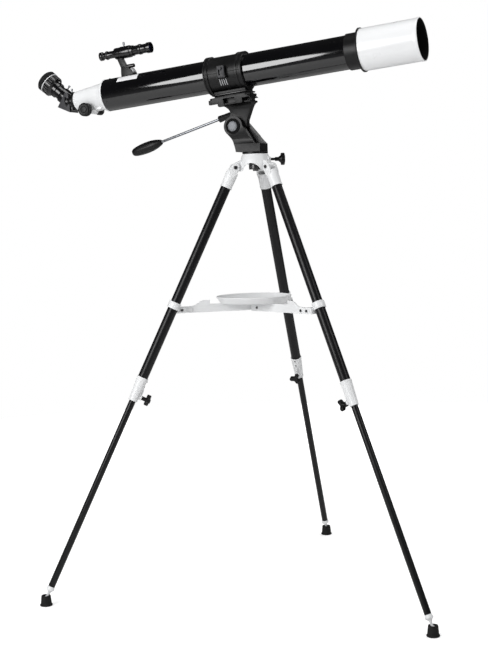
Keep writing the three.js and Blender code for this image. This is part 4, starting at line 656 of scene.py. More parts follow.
def ribs(name, node, place, finish, count, ring, low, high, rib=None):
    """Ribs round the Z axis of a place, in millimetres, riding with a node."""
    obj = new_object(name, bmesh.new(), finish)
    grow(obj, "ribs_round", rib_tree, place, count=count, ring_radius=ring * MM,
         rib_radius=sizes().rib_radius if rib is None else rib * MM, low=low * MM, high=high * MM,
         finish=finishes[finish])
    return ride_with(obj, node)


def screws(name, node, place, finish, spots, radius=None):
    """Screw heads at spots, given as a point in millimetres and the way that it faces."""
    shape = bmesh.new()
    layer = shape.verts.layers.float_vector.new("way")
    for point, way in spots:
        spot = shape.verts.new(Vector(point) * MM)
        spot[layer] = Vector(way).normalized()
    obj = new_object(name, shape, finish)
    radius = sizes().screw_radius if radius is None else radius * MM
    grow(obj, "screws_on_points", screw_tree, place, head_radius=radius,
         head_height=radius * 0.6, recess_width=radius * 0.3, finish=finishes[finish])
    return ride_with(obj, node)


class TELESCOPE_OT_legs(bpy.types.Operator):
    """Leg tubes, their knuckles, clamps and feet"""
    bl_idname = "telescope.legs"
    bl_label = "Legs"

    def execute(self, context):
        for number in LEGS:
            leg = leg_axes(number)
            self.add_tubes(number, leg)
            self.add_knuckle(number, leg)
            self.add_clamp(number, leg)
            self.add_clamp_knob(number, leg)
            self.add_foot(number, leg)
        return {"FINISHED"}

    def add_tubes(self, number, leg):
        for name, radius, wall, start, end, steps in (("upper", 11.5, 1.2, 30, 541, 72),
                                                      ("lower", 7.5, 1, 499, 1032.6, 60)):
            shape = tube(radius, radius - wall, -end, -start, 0.3, steps)
            stand_for(add_piece(f"{name}_tube_{number}", shape, leg, "stoved_paint"),
                      f"leg_{name}_{number}")

    def add_knuckle(self, number, leg):
        """A sleeve for the tube with a fork over the hub's lug."""
        bore, radius, fork, boss, end, rim, cheek, half_width = 11.8, 13.6, 11.5, 9.4, 49.5, 3, 6, 13.3
        profile = [
            (0, -fork), (0, -29.7), (bore, -29.7), (bore, -end), (radius, -end), (radius, -end + rim),
            (radius - 0.8, -end + rim + 0.6), (radius - 0.2, -30), (radius, -fork - boss),
            (radius, -fork)]
        body = add_piece(f"knuckle_sleeve_{number}", turned(softened(profile[::-1], 0.8), 72), leg,
                         "white_abs")
        stand_for(body, f"leg_knuckle_{number}")
        outline = arc(0, 0, boss, 0, 180, 32) + arc(0, -radius, boss, 180, 360, 32)
        for side, face in (("near", -half_width), ("far", half_width - cheek)):
            bore_cut = moved(bar(2.8, face - 3, face + cheek + 3, 0), ALONG_Y)
            shape = plate(outline, face, face + cheek)
            ride_with(add_piece(f"knuckle_{side}_cheek_{number}", shape, leg, "white_abs", 1.6,
                                (bore_cut,)), f"leg_knuckle_{number}")
        shank = bar(2.5, -half_width - 1.8, half_width + 1.8, 0.3, 32)
        heads = [solid([(0, low), (4, low), (4, low + 1.6), (0, low + 1.6)], 0.6, 40)
                 for low in (-half_width - 1.9, half_width + 0.3)]
        stand_for(add_piece(f"hinge_bolt_{number}", moved(together(shank, *heads), ALONG_Y), leg,
                            "black_oxide"), f"hinge_pin_{number}")

    def add_clamp(self, number, leg):
        """A tapered sleeve that steps from the upper to the lower tube, with a boss for its screw."""
        upper_bore, lower_bore, start, shoulder, end = 11.8, 7.8, 516.7, 541.3, 574
        top, bottom, rim, knob_height, reach = 13.4, 10, 2.5, 561, 16
        screw_hole, boss_radius, web_rise, web_half = 3.3, 6, 22, 3
        profile = [
            (upper_bore, -start), (upper_bore, -shoulder), (lower_bore, -shoulder), (lower_bore, -end),
            (bottom + 0.5, -end), (bottom + 0.5, -end + rim), (bottom, -end + rim + 0.6),
            (top - 0.6, -start - rim - 0.6), (top, -start - rim), (top, -start)]
        obj = add_piece(f"clamp_sleeve_{number}", sleeve(profile, 0.6, 72), leg, "white_abs")
        stand_for(obj, f"leg_clamp_{number}")

        def bores():
            """The lower tube's bore and the hole of the screw."""
            return (bar(lower_bore, -end - 5, -shoulder, 0),
                    moved(bar(screw_hole, -reach - 5, 0, 0), shift(z=-knob_height), ALONG_X))

        boss = moved(bar(boss_radius, -reach, -lower_bore, 0.8), shift(z=-knob_height), ALONG_X)
        web = plate([(-lower_bore, -knob_height - boss_radius), (-reach + 0.3, -knob_height),
                     (-top, -knob_height + web_rise), (-lower_bore, -knob_height + web_rise)],
                    -web_half, web_half)
        ride_with(add_piece(f"clamp_boss_{number}", boss, leg, "white_abs", 0.0, bores()),
                  f"leg_clamp_{number}")
        inside, screw = bores()
        above = bar(upper_bore, -shoulder, -start + 5, 0)
        ride_with(add_piece(f"clamp_web_{number}", web, leg, "white_abs", 0.8, (inside, above, screw)),
                  f"leg_clamp_{number}")
        screws(f"clamp_screws_{number}", f"leg_clamp_{number}", leg, "black_oxide",
               [((-13, 0, -523), (-1, 0, 0)), ((-12, 0, -536), (-1, 0, 0))], 1.8)

    def add_clamp_knob(self, number, leg):
        """Three round lobes on a screw."""
        back, front, reach, lobe, waist, height = -36, -27, 14, 5.2, 7, 561
        place = leg @ shift(z=-height * MM)
        outline = []
        for i in range(3):
            heading = 120 * i
            centre = reach - lobe
            x, y = centre * math.cos(math.radians(heading)), centre * math.sin(math.radians(heading))
            outline += arc(x, y, lobe, heading - 80, heading + 80, 14)
            middle = math.radians(heading + 60)
            outline.append((waist * 0.82 * math.cos(middle), waist * 0.82 * math.sin(middle)))
        grip = moved(slab(softened(outline, 1.2, True), back, front), FACING_X)
        stand_for(add_piece(f"clamp_grip_{number}", grip, place, "black_nylon", 1.2),
                  f"clamp_knob_{number}")
        neck = solid([(0, front - 1), (6, front - 1), (4.6, front + 2), (4.6, -16.4), (3, -16.4),
                      (3, -8.1), (0, -8.1)], 0.4, 40)
        ride_with(add_piece(f"clamp_neck_{number}", moved(neck, ALONG_X), place, "black_nylon"),
                  f"clamp_knob_{number}")

    def add_foot(self, number, leg):
        end, plug, collar, neck, ball, drop = 1032.6, 6.2, 9.2, 2.9, 6.5, 30.5
        height = -end - drop
        start = math.asin(neck / ball)
        profile = [(0, -end + 20), (plug, -end + 20), (plug, -end - 0.3), (7.5, -end - 0.3),
                   (collar, -end - 5), (collar, -end - 8), (neck + 1.6, -end - 12),
                   (neck, -end - 17)]
        profile += [(ball * math.sin(a), height + ball * math.cos(a))
                    for a in (start + (math.pi - start) * i / 16 for i in range(16))]
        tip = add_piece(f"tip_{number}", turned(profile + [(0, height - ball)], 60), leg, "white_abs")
        stand_for(tip, f"leg_tip_{number}")

        # The rubber foot stands level, whatever the leg's slope
        centre = leg @ (Vector((0, 0, height)) * MM)
        upright = axes_at(centre, Vector((1, 0, 0)), Vector((0, 1, 0)))
        radius, rim, low, top, top_radius, mouth, socket_radius = 14.2, 3.5, -16, 8, 10.2, 7.8, 7.2
        lip = math.acos(3.6 / socket_radius)
        profile = [(0, low), (12, low), (12, low + 0.8), (radius - 0.4, low + 0.8), (radius, low + 1.6),
                   (radius, low + rim), (radius - 1.6, low + rim + 1), (radius - 2, low + 2 * rim),
                   (top_radius + 0.6, top - 2.4), (top_radius, top), (mouth, top)]
        profile += [(socket_radius * math.sin(a), socket_radius * math.cos(a))
                    for a in (lip + (math.pi - lip) * i / 10 for i in range(10))]
        cup = turned(softened(profile, 0.5) + [(0, -socket_radius)], 72)
        stand_for(add_piece(f"foot_cup_{number}", cup, upright, "moulded_rubber"), f"foot_{number}")
        ribs(f"foot_ribs_{number}", f"foot_{number}", upright, "moulded_rubber", 36, radius - 0.5,
             low + 1.6, low + rim, 0.45)


class TELESCOPE_OT_brace(bpy.types.Operator):
    """Folding brace with its bands, arms and hub, and the tray on it"""
    bl_idname = "telescope.brace"
    bl_label = "Brace and Tray"

    def execute(self, context):
        for number in LEGS:
            self.add_fasteners(number)
            cast(f"brace_band_{number}", "white_abs")
            cast(f"brace_arm_{number}", "white_abs")
        cast("brace_hub", "white_abs")
        self.add_tray()
        return {"FINISHED"}

    def add_fasteners(self, number):
        """Black bolts and rivets of a band and of its arm."""
        pivot = upright_axes(number, joint_place(f"brace_fold_{number}"))
        rivet_face, bolt_near, bolt_far, bolt_place, eye_face, arm = -21.4, -22.2, 2.4, 19, -18.3, 148
        screws(f"band_screws_{number}", f"brace_band_{number}", pivot, "black_oxide",
               [((0, rivet_face, 0), (0, -1, 0)), ((bolt_place, bolt_near, 0), (0, -1, 0)),
                ((bolt_place, bolt_far, 0), (0, 1, 0))], 3.4)
        screws(f"arm_rivet_{number}", f"brace_arm_{number}", pivot, "black_oxide",
               [((-arm, eye_face, 0), (0, -1, 0))], 3.4)

    def add_tray(self):
        low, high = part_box("tray")
        middle = (Vector(low) + Vector(high)) / 2
        place = Matrix.Translation((middle.x, middle.y, low[2]))
        radius, height, floor, fold = 86, 15.7, 2.4, 76
        rim = [(radius - 1.4 + 1.4 * math.cos(a), height - 1.4 + 1.4 * math.sin(a))
               for a in (math.pi * (i - 3) / 12 for i in range(13))]
        profile = [(0, 0), (fold - 3, 0), (fold, 0.5), (fold + 1.6, 1.8), (radius - 2.4, height - 4)]
        # Inside, a low ring stands up from the floor
        inner, outer, ridge = 36, 40, 0.6
        profile += rim + [(radius - 3.6, height - 4), (fold - 0.6, floor + 0.8), (fold - 3, floor),
                          (outer + ridge, floor), (outer, floor + ridge), (inner, floor + ridge),
                          (inner - ridge, floor), (0, floor)]
        stand_for(add_piece("tray_dish", turned(profile, 160), place, "white_abs"), "tray")


class TELESCOPE_OT_head(bpy.types.Operator):
    """Hub of the stand, pan and tilt head and its handle"""
    bl_idname = "telescope.head"
    bl_label = "Head"

    def execute(self, context):
        self.add_hub()
        self.add_pan_joint()
        self.add_yoke()
        self.add_handle()
        cast("tilt_head", "black_nylon")
        stand_for(casting("mount_plate", "saddle_plate", "gloss_abs", 1.3 * MM), "mount_plate")
        return {"FINISHED"}

    def add_hub(self):
        """A bell with three lugs, arched between them; the hinges are at its origin's height."""
        hinge_height = joint_place("leg_fold_1").z
        place = pan_axes() @ shift(z=hinge_height)
        bore, inside, flare, skirt, crown = 5.3, 32.8, 35.8, 34, 29
        plate_low, skirt_low, arch_top, crown_top = 10.5, -7.5, 9, CROWN_HEIGHT
        bell = [
            (bore, plate_low), (inside, plate_low), (inside, skirt_low), (flare, skirt_low),
            (flare, arch_top), (skirt, crown_top - 14),
            *[(crown - 3 + 3.6 * math.cos(a) ** 0.8 + (1 - a / 1.5708) * 0.4,
               crown_top - 3.6 + 3.6 * math.sin(a)) for a in (0.0, 0.4, 0.8, 1.2)],
            (crown - 3, crown_top), (bore, crown_top)]
        arch_radius, lug_half, lug_radius, hinge_radius = 23, 7, 8.6, 48.5
        lug_outline = [(inside + 1.5, -lug_radius), (hinge_radius, -lug_radius),
                       *arc(hinge_radius, 0, lug_radius, -90, 60), (skirt, crown_top - 14),
                       (inside + 1.5, arch_top)]
        arches, lugs = [], []
        for number in LEGS:
            side = joint_way(f"leg_fold_{number}")
            heading = math.degrees(math.atan2(-side.x, side.y))
            arch = moved(bar(arch_radius, 15, flare + 5, 0, 64), ALONG_X)
            arches.append(moved(arch, rotation(heading + 60, "Z"), shift(z=arch_top - arch_radius)))
            lugs.append(moved(plate(lug_outline, -lug_half, lug_half), rotation(heading, "Z")))
        knob = joint_place("pan_lock")
        way = knob - Vector((pan_axes().translation.x, pan_axes().translation.y, knob.z))
        boss = moved(tube(6, 3.3, crown - 3, flare - 0.2, 0.6, 48),
                     rotation(math.degrees(math.atan2(way.y, way.x)), "Z"),
                     shift(z=(knob.z - hinge_height) / MM), ALONG_X)
        stand_for(add_piece("hub_bell", sleeve(bell, 0.7, 128), place, "white_abs", 0.8, arches),
                  "tripod_hub")
        ride_with(add_piece("hub_boss", boss, place, "white_abs"), "tripod_hub")
        for number, lug in zip(LEGS, lugs):
            ride_with(add_piece(f"hub_lug_{number}", lug, place, "white_abs", 1.2), "tripod_hub")

    def add_pan_joint(self):
        radius, bore, gap = 29, 5.3, 0.3
        place = pan_axes() @ shift(z=joint_place("leg_fold_1").z + CROWN_HEIGHT * MM)
        washer = tube(radius, bore, gap, WASHER_ROOM - gap, 0.7, 128)
        stand_for(add_piece("pan_washer", washer, place, "black_nylon"), "pan_disc")
        cast("pan_spigot", "black_oxide")
        cast("pan_knob", "black_nylon")

    def add_yoke(self):
        """Two cheeks on one base, scooped outside, with a slot for the tongue."""
        under = joint_place("leg_fold_1").z + (CROWN_HEIGHT + WASHER_ROOM) * MM
        place = pan_axes() @ shift(z=under)
        front, back, half_width, base, toe = 21.5, -37.7, 23.5, 18, 7
        pivot_x, pivot_z, lug = -42.9, 58.2, 22.5

        def cheek(end_angle, toe_front, low, high):
            start_angle = 232
            rear = (pivot_x + lug * math.cos(math.radians(start_angle)),
                    pivot_z + lug * math.sin(math.radians(start_angle)))
            return plate([(back, 0), *curve((back, 0), (back - 2.1, 22.2), rear),
                          *arc(pivot_x, pivot_z, lug, start_angle, end_angle, 48)[1:],
                          (toe_front, base), (front, base), (front, 0)], low, high)
        slot, slot_half, axle, scoop, depth = 31.5, 9.3, 5.3, 18, 3
        chord = math.sqrt(2 * scoop * depth - depth ** 2)

        def cuts():
            """The tongue's slot and its opening, the axle's bore and the two scoops."""
            at_pivot = shift(x=pivot_x, z=pivot_z)
            scoops = [moved(bar(scoop, -80, 50, 0, 96),
                            shift(y=side * (half_width + scoop - depth), z=base + chord), ALONG_X)
                      for side in (-1, 1)]
            return [moved(bar(slot, -slot_half, slot_half, 0, 128), at_pivot, ALONG_Y),
                    block((pivot_x - 70, -slot_half, pivot_z), (front + 4, slot_half, pivot_z + 45)),
                    moved(bar(axle, -30, 30, 0), at_pivot, ALONG_Y), *scoops]

        near = add_piece("yoke_near", cheek(0, toe, -half_width, 0), place, "black_nylon", 1.0, cuts())
        stand_for(near, "head_base")
        far = cheek(24, front - 0.3, 0, half_width)
        ride_with(add_piece("yoke_far", far, place, "black_nylon", 1.0, cuts()), "head_base")

        # Black ring round a bright domed cap, and the nut on the far side
        pivot = axes_at(joint_place("tilt"), Vector((1, 0, 0)), Vector((0, 1, 0)))
        near_side = pivot @ rotation(90, "X")
        face, ring, ring_height, cap, cap_height = half_width + 0.3, 17.4, 1.4, 11.4, 2.4
        flange = solid([(0, face), (ring, face), (ring, face + ring_height), (14, face + ring_height),
                        (13.4, face + 0.9), (0, face + 0.9)], 0.4)
        stand_for(add_piece("axle_flange", flange, near_side, "flat_black_paint"), "tilt_axle")
        axle = add_piece("axle_bar", bar(5, -face - 5, face + 0.5), near_side, "black_oxide")
        ride_with(axle, "tilt_axle")
        nut = slab([(9 * math.cos(math.radians(60 * i)), 9 * math.sin(math.radians(60 * i)))
                    for i in range(6)], -face - 5, -face)
        ride_with(add_piece("axle_nut", nut, near_side, "zinc_plate", 0.8), "tilt_axle")
        low = face + ring_height + 0.3
        rim = 0.5
        dome = [(0, low), (cap, low)]
        dome += [(cap * math.cos(a), low + rim + (cap_height - rim) * math.sin(a))
                 for a in (math.pi / 2 * i / 10 for i in range(10))]
        stand_for(add_piece("axle_cap", turned(dome + [(0, low + cap_height)], 96), near_side,
                            "zinc_plate"), "tilt_cap")

    def add_handle(self):
        place = axes_at(joint_place("handle_twist"), -joint_way("handle_twist"), -joint_way("tilt"))
        along = place @ ALONG_X
        rod_radius, grip_start, grip_length, grip_radius, socket_end = 3, 197, 79.8, 13, 41.8
        rod = solid([(0, -grip_start - 17.7), (rod_radius, -grip_start - 17.7),
                     (rod_radius, -socket_end + 13.7), (0, -socket_end + 13.7)], 0.3, 48)
        stand_for(add_piece("rod", rod, along, "bright_chrome"), "handle_rod")
        shares = [(0, 0.42), (0.03, 0.5), (0.08, 0.62), (0.2, 0.83), (0.34, 0.96), (0.46, 1.0),
                  (0.56, 1.0), (0.7, 0.95), (0.82, 0.86), (0.9, 0.76), (0.95, 0.66), (0.985, 0.53),
                  (1, 0.36)]
        outline = [(0, -grip_start)] + [(grip_radius * wide, -grip_start - share * grip_length)
                                       for share, wide in shares] + [(0, -grip_start - grip_length)]
        grooves = []
        for i in range(8):
            groove = moved(bar(2.6, -grip_start - 0.88 * grip_length, -grip_start - 0.26 * grip_length,
                               2.4, 20), rotation(45 * i, "Z"), shift(x=grip_radius + 1.3))
            grooves.append(groove)
        bore = bar(rod_radius + 0.3, -grip_start - 18, -grip_start + 4, 0)
        stand_for(add_piece("grip", turned(softened(outline, 3), 96), along, "black_nylon", 0.5,
                            [*grooves, bore]), "handle_grip")


class TELESCOPE_OT_tube(bpy.types.Operator):
    """Main tube with its ring, latch, objective, dew shield and bare plate"""
    bl_idname = "telescope.tube"
    bl_label = "Tube"

    def execute(self, context):
        scope = telescope_axes()
        self.add_tube(scope)
        self.add_objective(scope)
        self.add_shield(scope)
        self.add_ring(scope)
        return {"FINISHED"}

    def add_tube(self, scope):
        along = scope @ ALONG_X
        back, front, radius, wall = -372.8, 255, 37.2, 1.4
        body = add_piece("tube_body", tube(radius, radius - wall, back, front, 0.6, 160), along,
                         "black_enamel")
        line_inside(body, along, radius - wall / 2, "flat_black_paint")
        stand_for(body, "main_tube")

        # Bare plate, bent to the tube
        plate_back, plate_front, low_angle, high_angle, thickness = -332, -278.5, 37.5, 66.5, 0.25
        outer = arc(0, 0, radius + thickness, 180 - high_angle, 180 - low_angle, 12)
        inner = arc(0, 0, radius + 0.02, 180 - low_angle, 180 - high_angle, 12)
        ride_with(add_piece("bare_plate", moved(slab(outer + inner, plate_back, plate_front), FACING_X),
                            scope, "blank_vinyl"), "main_tube")

        # Screws that hold the focuser in the tube's end
        screw_back, sink = -363, 0.3
        spots = []
        for degrees in (88, 208, 328):
            angle = math.radians(degrees)
            way = Vector((0, -math.cos(angle), math.sin(angle)))
            spots.append((way * (radius - sink) + Vector((screw_back, 0, 0)), way))
        screws("focuser_screws", "main_tube", scope, "black_oxide", spots, 2.6)

    def add_objective(self, scope):
        along = scope @ ALONG_X
        bore, tube_front, flange_back, flange_front = 37.5, 255, 258.7, 262.2
        flange_radius, cell_radius, lip, seat = 48.4, 40, 33, 35.3
        boss_front, boss_radius, cell_back = flange_front + 14, 44.3, 230
        cell = sleeve([
            (bore, cell_back), (bore, tube_front + 0.3), (lip, tube_front + 0.3), (lip, flange_back),
            (seat, flange_back), (seat, boss_front), (boss_radius, boss_front),
            (boss_radius, flange_front), (flange_radius, flange_front), (flange_radius, flange_back),
            (cell_radius, flange_back), (cell_radius, cell_back)], 0.6, 144)
        stand_for(add_piece("cell_ring", cell, along, "black_nylon"), "lens_cell")
        ribs("cell_knurl", "lens_cell", along, "black_nylon", 96, flange_radius - 0.6,
             flange_back + 0.6, flange_front - 0.6, 0.6)

        lens_radius, thickness, bulge, rings = 35, 9, 3, 16
        back = flange_back + 0.3

        def face(height, bulging):
            shares = [i / rings for i in range(rings + 1)]
            return [(lens_radius * share, height + bulging * (1 - share ** 2)) for share in shares]
        profile = face(back, -bulge) + face(back + thickness, bulge)[::-1]
        stand_for(add_piece("doublet", turned(profile, 96), along, "coated_glass"), "objective_lens")

    def add_shield(self, scope):
        along = scope @ ALONG_X
        inside, radius, mouth_radius, lip_width, start, end = 44.6, 46.2, 46.9, 5, 262.5, 396.2
        shield = sleeve([
            (inside, start), (radius, start), (radius, end - 2 * lip_width),
            (mouth_radius, end - lip_width), (mouth_radius, end), (inside, end)], 0.5, 160)
        obj = add_piece("shield", shield, along, "white_enamel")
        line_inside(obj, along, (inside + radius) / 2, "flat_black_paint")
        stand_for(obj, "dew_shield")

    def whole_ring(self):
        """A collar with a grooved rib at each end, before it is split in two."""
        inside, collar, rib, groove_depth, groove = 37.5, 41, 44, 1.6, 4
        back, front, rear_width, front_width = -106, -12, 11, 17

        def grooved(start, end):
            middle = (start + end) / 2
            low, high, floor = middle - groove / 2, middle + groove / 2, rib - groove_depth
            return [(rib, start), (rib, low), (floor, low), (floor, high), (rib, high), (rib, end)]
        return moved(sleeve([
            (inside, back), *grooved(back, back + rear_width), (collar, back + rear_width),
            (collar, front - front_width), *grooved(front - front_width, front),
            (inside, front)], 0.5, 128), ALONG_X)

    def add_ring(self, scope):
        inside, reach, lug_back, lug_front, lug_height, joint = 37.5, 48, -66, -49, 14, 0.15
        latch_place, pin = 50, 2
        hinge, hinge_pin, hinge_place, back, length, gap = 3.6, 1.4, 44.6, -106, 18.8, 0.3
        knuckles = {1: [], -1: []}
        for i in range(5):
            start = back + i * length + gap
            knuckles[1 if i % 2 else -1].append(
                moved(bar(hinge, start, start + length - 2 * gap), shift(y=hinge_place), ALONG_X))
        hinge_bar = moved(bar(hinge_pin, back + gap, back + 5 * length - gap),
                          shift(y=hinge_place), ALONG_X)
        foot = block((-92, -22, -44.8), (-15, 22, -39))
        ears = [block((start, -latch_place - pin, -lug_height),
                      (start + pin, -inside - 1, 3 * pin - lug_height))
                for start in (lug_back - pin, lug_front)]
        lug = block((lug_back, -reach, -lug_height), (lug_front, -inside - 1, -joint))
        lower = half(self.whole_ring(), -joint, -1)
        stand_for(add_piece("lower_half", together(lower, foot, lug, *ears, *knuckles[-1], hinge_bar),
                            scope, "black_nylon", 0.4), "ring_lower")
        lug = block((lug_back, -reach, joint), (lug_front, -inside - 1, lug_height))
        upper = half(self.whole_ring(), joint, 1)
        stand_for(add_piece("upper_half", together(upper, lug, *knuckles[1]), scope,
                            "black_nylon", 0.4), "ring_upper")

        # Pale finger ribs under the latch, on the lower half
        rib_low, rib_high, rib_width, proud = -31, -15, 2, 1.4
        strips = []
        for i in range(4):
            start = lug_back - pin + i * (lug_front - lug_back - rib_width) / 3
            outline = arc(0, 0, 41 + proud, 180 - rib_low / 0.75, 180 - rib_high / 0.75, 8)
            outline += arc(0, 0, 40.9, 180 - rib_high / 0.75, 180 - rib_low / 0.75, 8)
            strips.append(moved(slab(outline, start, start + rib_width), FACING_X))
        ride_with(add_piece("finger_ribs", together(*strips), scope, "pale_abs", 0.3), "ring_lower")
        cast("ring_latch", "grey_abs")


class TELESCOPE_OT_focuser(bpy.types.Operator):
    """Focuser with its drawtube, rack, pinion and knobs"""
    bl_idname = "telescope.focuser"
    bl_label = "Focuser"

    def execute(self, context):
        scope = telescope_axes()
        pinion = axes_at(joint_place("focus_turn"), -joint_way("focus"), -joint_way("tilt"))
        self.add_housing(scope, pinion)
        self.add_drawtube(scope)
        self.add_knobs(pinion)
        cast("focus_shaft", "turned_brass")
        return {"FINISHED"}

    def add_housing(self, scope, pinion):
        bore, back, shoulder, bezel_back, tube_back, spigot_front = (
            19.8, -458, -388, -376.8, -373.1, -358.8)
        back_radius, shoulder_radius, rim, spigot, hollow = 21.8, 30.5, 37.5, 35.5, 33
        shell = sleeve([
            (bore, back), (back_radius, back), (back_radius + 0.5, back + 4),
            (shoulder_radius, shoulder), (34.4, -379.2), (rim, bezel_back), (rim, tube_back),
            (spigot, tube_back), (spigot, spigot_front), (hollow, spigot_front), (hollow, bezel_back),
            (bore, -384)], 1.2, 128)
        channels = [block((back - 3, -4.3, -26), (bezel_back, 4.3, 0)) for _ in range(2)]
        stand_for(add_piece("housing", moved(shell, ALONG_X), scope, "white_abs", 0, channels[:1]),
                  "focuser_housing")

        # Pinion boss under the housing, with its screws
        middle = (scope @ UNIT).inverted() @ pinion.translation
        radius, heel, front, half_width = 8.7, middle.z - 2.4, middle.x + 33, 16
        outline = [(middle.x - 13, -10), (middle.x - 13, middle.z),
                   *arc(middle.x, middle.z, radius, 200, 300),
                   (middle.x + 8, heel), (front - 5, heel), *arc(front - 5, heel + 5, 5, -90, 0, 6),
                   (front, -10)]
        space = moved(bar(bore, back - 3, bezel_back), ALONG_X)
        boss = add_piece("pinion_boss", plate(outline, -half_width, half_width), scope, "white_abs",
                         1.2, (space, channels[1]))
        ride_with(boss, "focuser_housing")
        spots = [((middle.x + x, side * (half_width - 0.3), middle.z + z), (0, side, 0))
                 for side in (-1, 1) for x, z in ((22, 4), (22, 11))]
        screws("boss_screws", "focuser_housing", scope, "bright_chrome", spots, 1.7)

    def add_drawtube(self, scope):
        along = scope @ ALONG_X
        radius, bore, back, front, collar, collar_width = 19.5, 16.6, -463.7, -352, 21.6, 5.4
        body = sleeve([(bore, back), (collar, back), (collar, back + collar_width),
                       (radius, back + collar_width), (radius, front), (bore, front)], 0.4, 96)
        obj = add_piece("draw_body", body, along, "black_nylon")
        line_inside(obj, along, (bore + radius) / 2, "flat_black_paint")
        stand_for(obj, "drawtube")
        ribs("draw_knurl", "drawtube", along, "black_nylon", 60, collar - 0.3, back + 0.8,
             back + collar_width - 0.8, 0.6)

        # Toothed rack under the drawtube, in step with the pinion
        pitch, count, root, tip, half_tooth, flank, half_width = 3.2, 20, -22.1, -23.9, 0.54, 0.45, 4
        pinion = (scope @ UNIT).inverted() @ joint_place("focus_turn")
        start = pinion.x - 1.5 * pitch
        outline = [(start, -18), (start, root)]
        for i in range(count):
            middle = start + (i + 1) * pitch
            outline += [(middle - half_tooth - flank, root), (middle - half_tooth + flank / 2, tip),
                        (middle + half_tooth - flank / 2, tip), (middle + half_tooth + flank, root)]
        end = start + (count + 0.5) * pitch
        outline += [(end, root), (end, -18)]
        ride_with(add_piece("rack", plate(outline, -half_width, half_width), scope, "black_nylon"),
                  "drawtube")

    def add_knobs(self, pinion):
        inner, outer, hub_length, hub_radius = 27, 43, 8, 8
        for side, number, radius, count in ((-1, 1, 16.1, 44), (1, 2, 10.3, 30)):
            place = pinion @ (ALONG_Y if side > 0 else rotation(90, "X"))
            rim = radius - 1.1
            hub = min(hub_radius, radius - 3)
            body = solid([
                (0, inner - hub_length), (hub, inner - hub_length), (hub, inner), (rim - 1, inner),
                (rim, inner + 1.5), (rim, outer - 1.5), (rim - 2, outer), (rim - 3, outer - 0.6),
                (hub + 0.5, outer - 0.8), (hub - 1, outer + 0.5), (0, outer + 0.8)], 0.7, 96)
            stand_for(add_piece(f"knob_{number}", body, place, "black_nylon"), f"focus_knob_{number}")
            ribs(f"knob_{number}_ribs", f"focus_knob_{number}", place, "black_nylon", count,
                 rim - 0.2, inner + 2, outer - 2.2)


def bulging(radius, crown, bulge, low, steps=8):
    """The profile of a lens that bulges upwards to its crown."""
    dome = [(radius * i / steps, crown - bulge * (i / steps) ** 2) for i in range(steps + 1)]
    return dome + [(radius, low), (0, low)]


def thumbscrew(foot, shoulder, end):
    """A small thumbscrew that stands on the Z axis."""
    return solid([(0, foot), (1.4, foot), (1.4, shoulder), (2.5, shoulder + 0.8), (2.5, end - 0.4),
                  (0, end)], 0.5, 32)


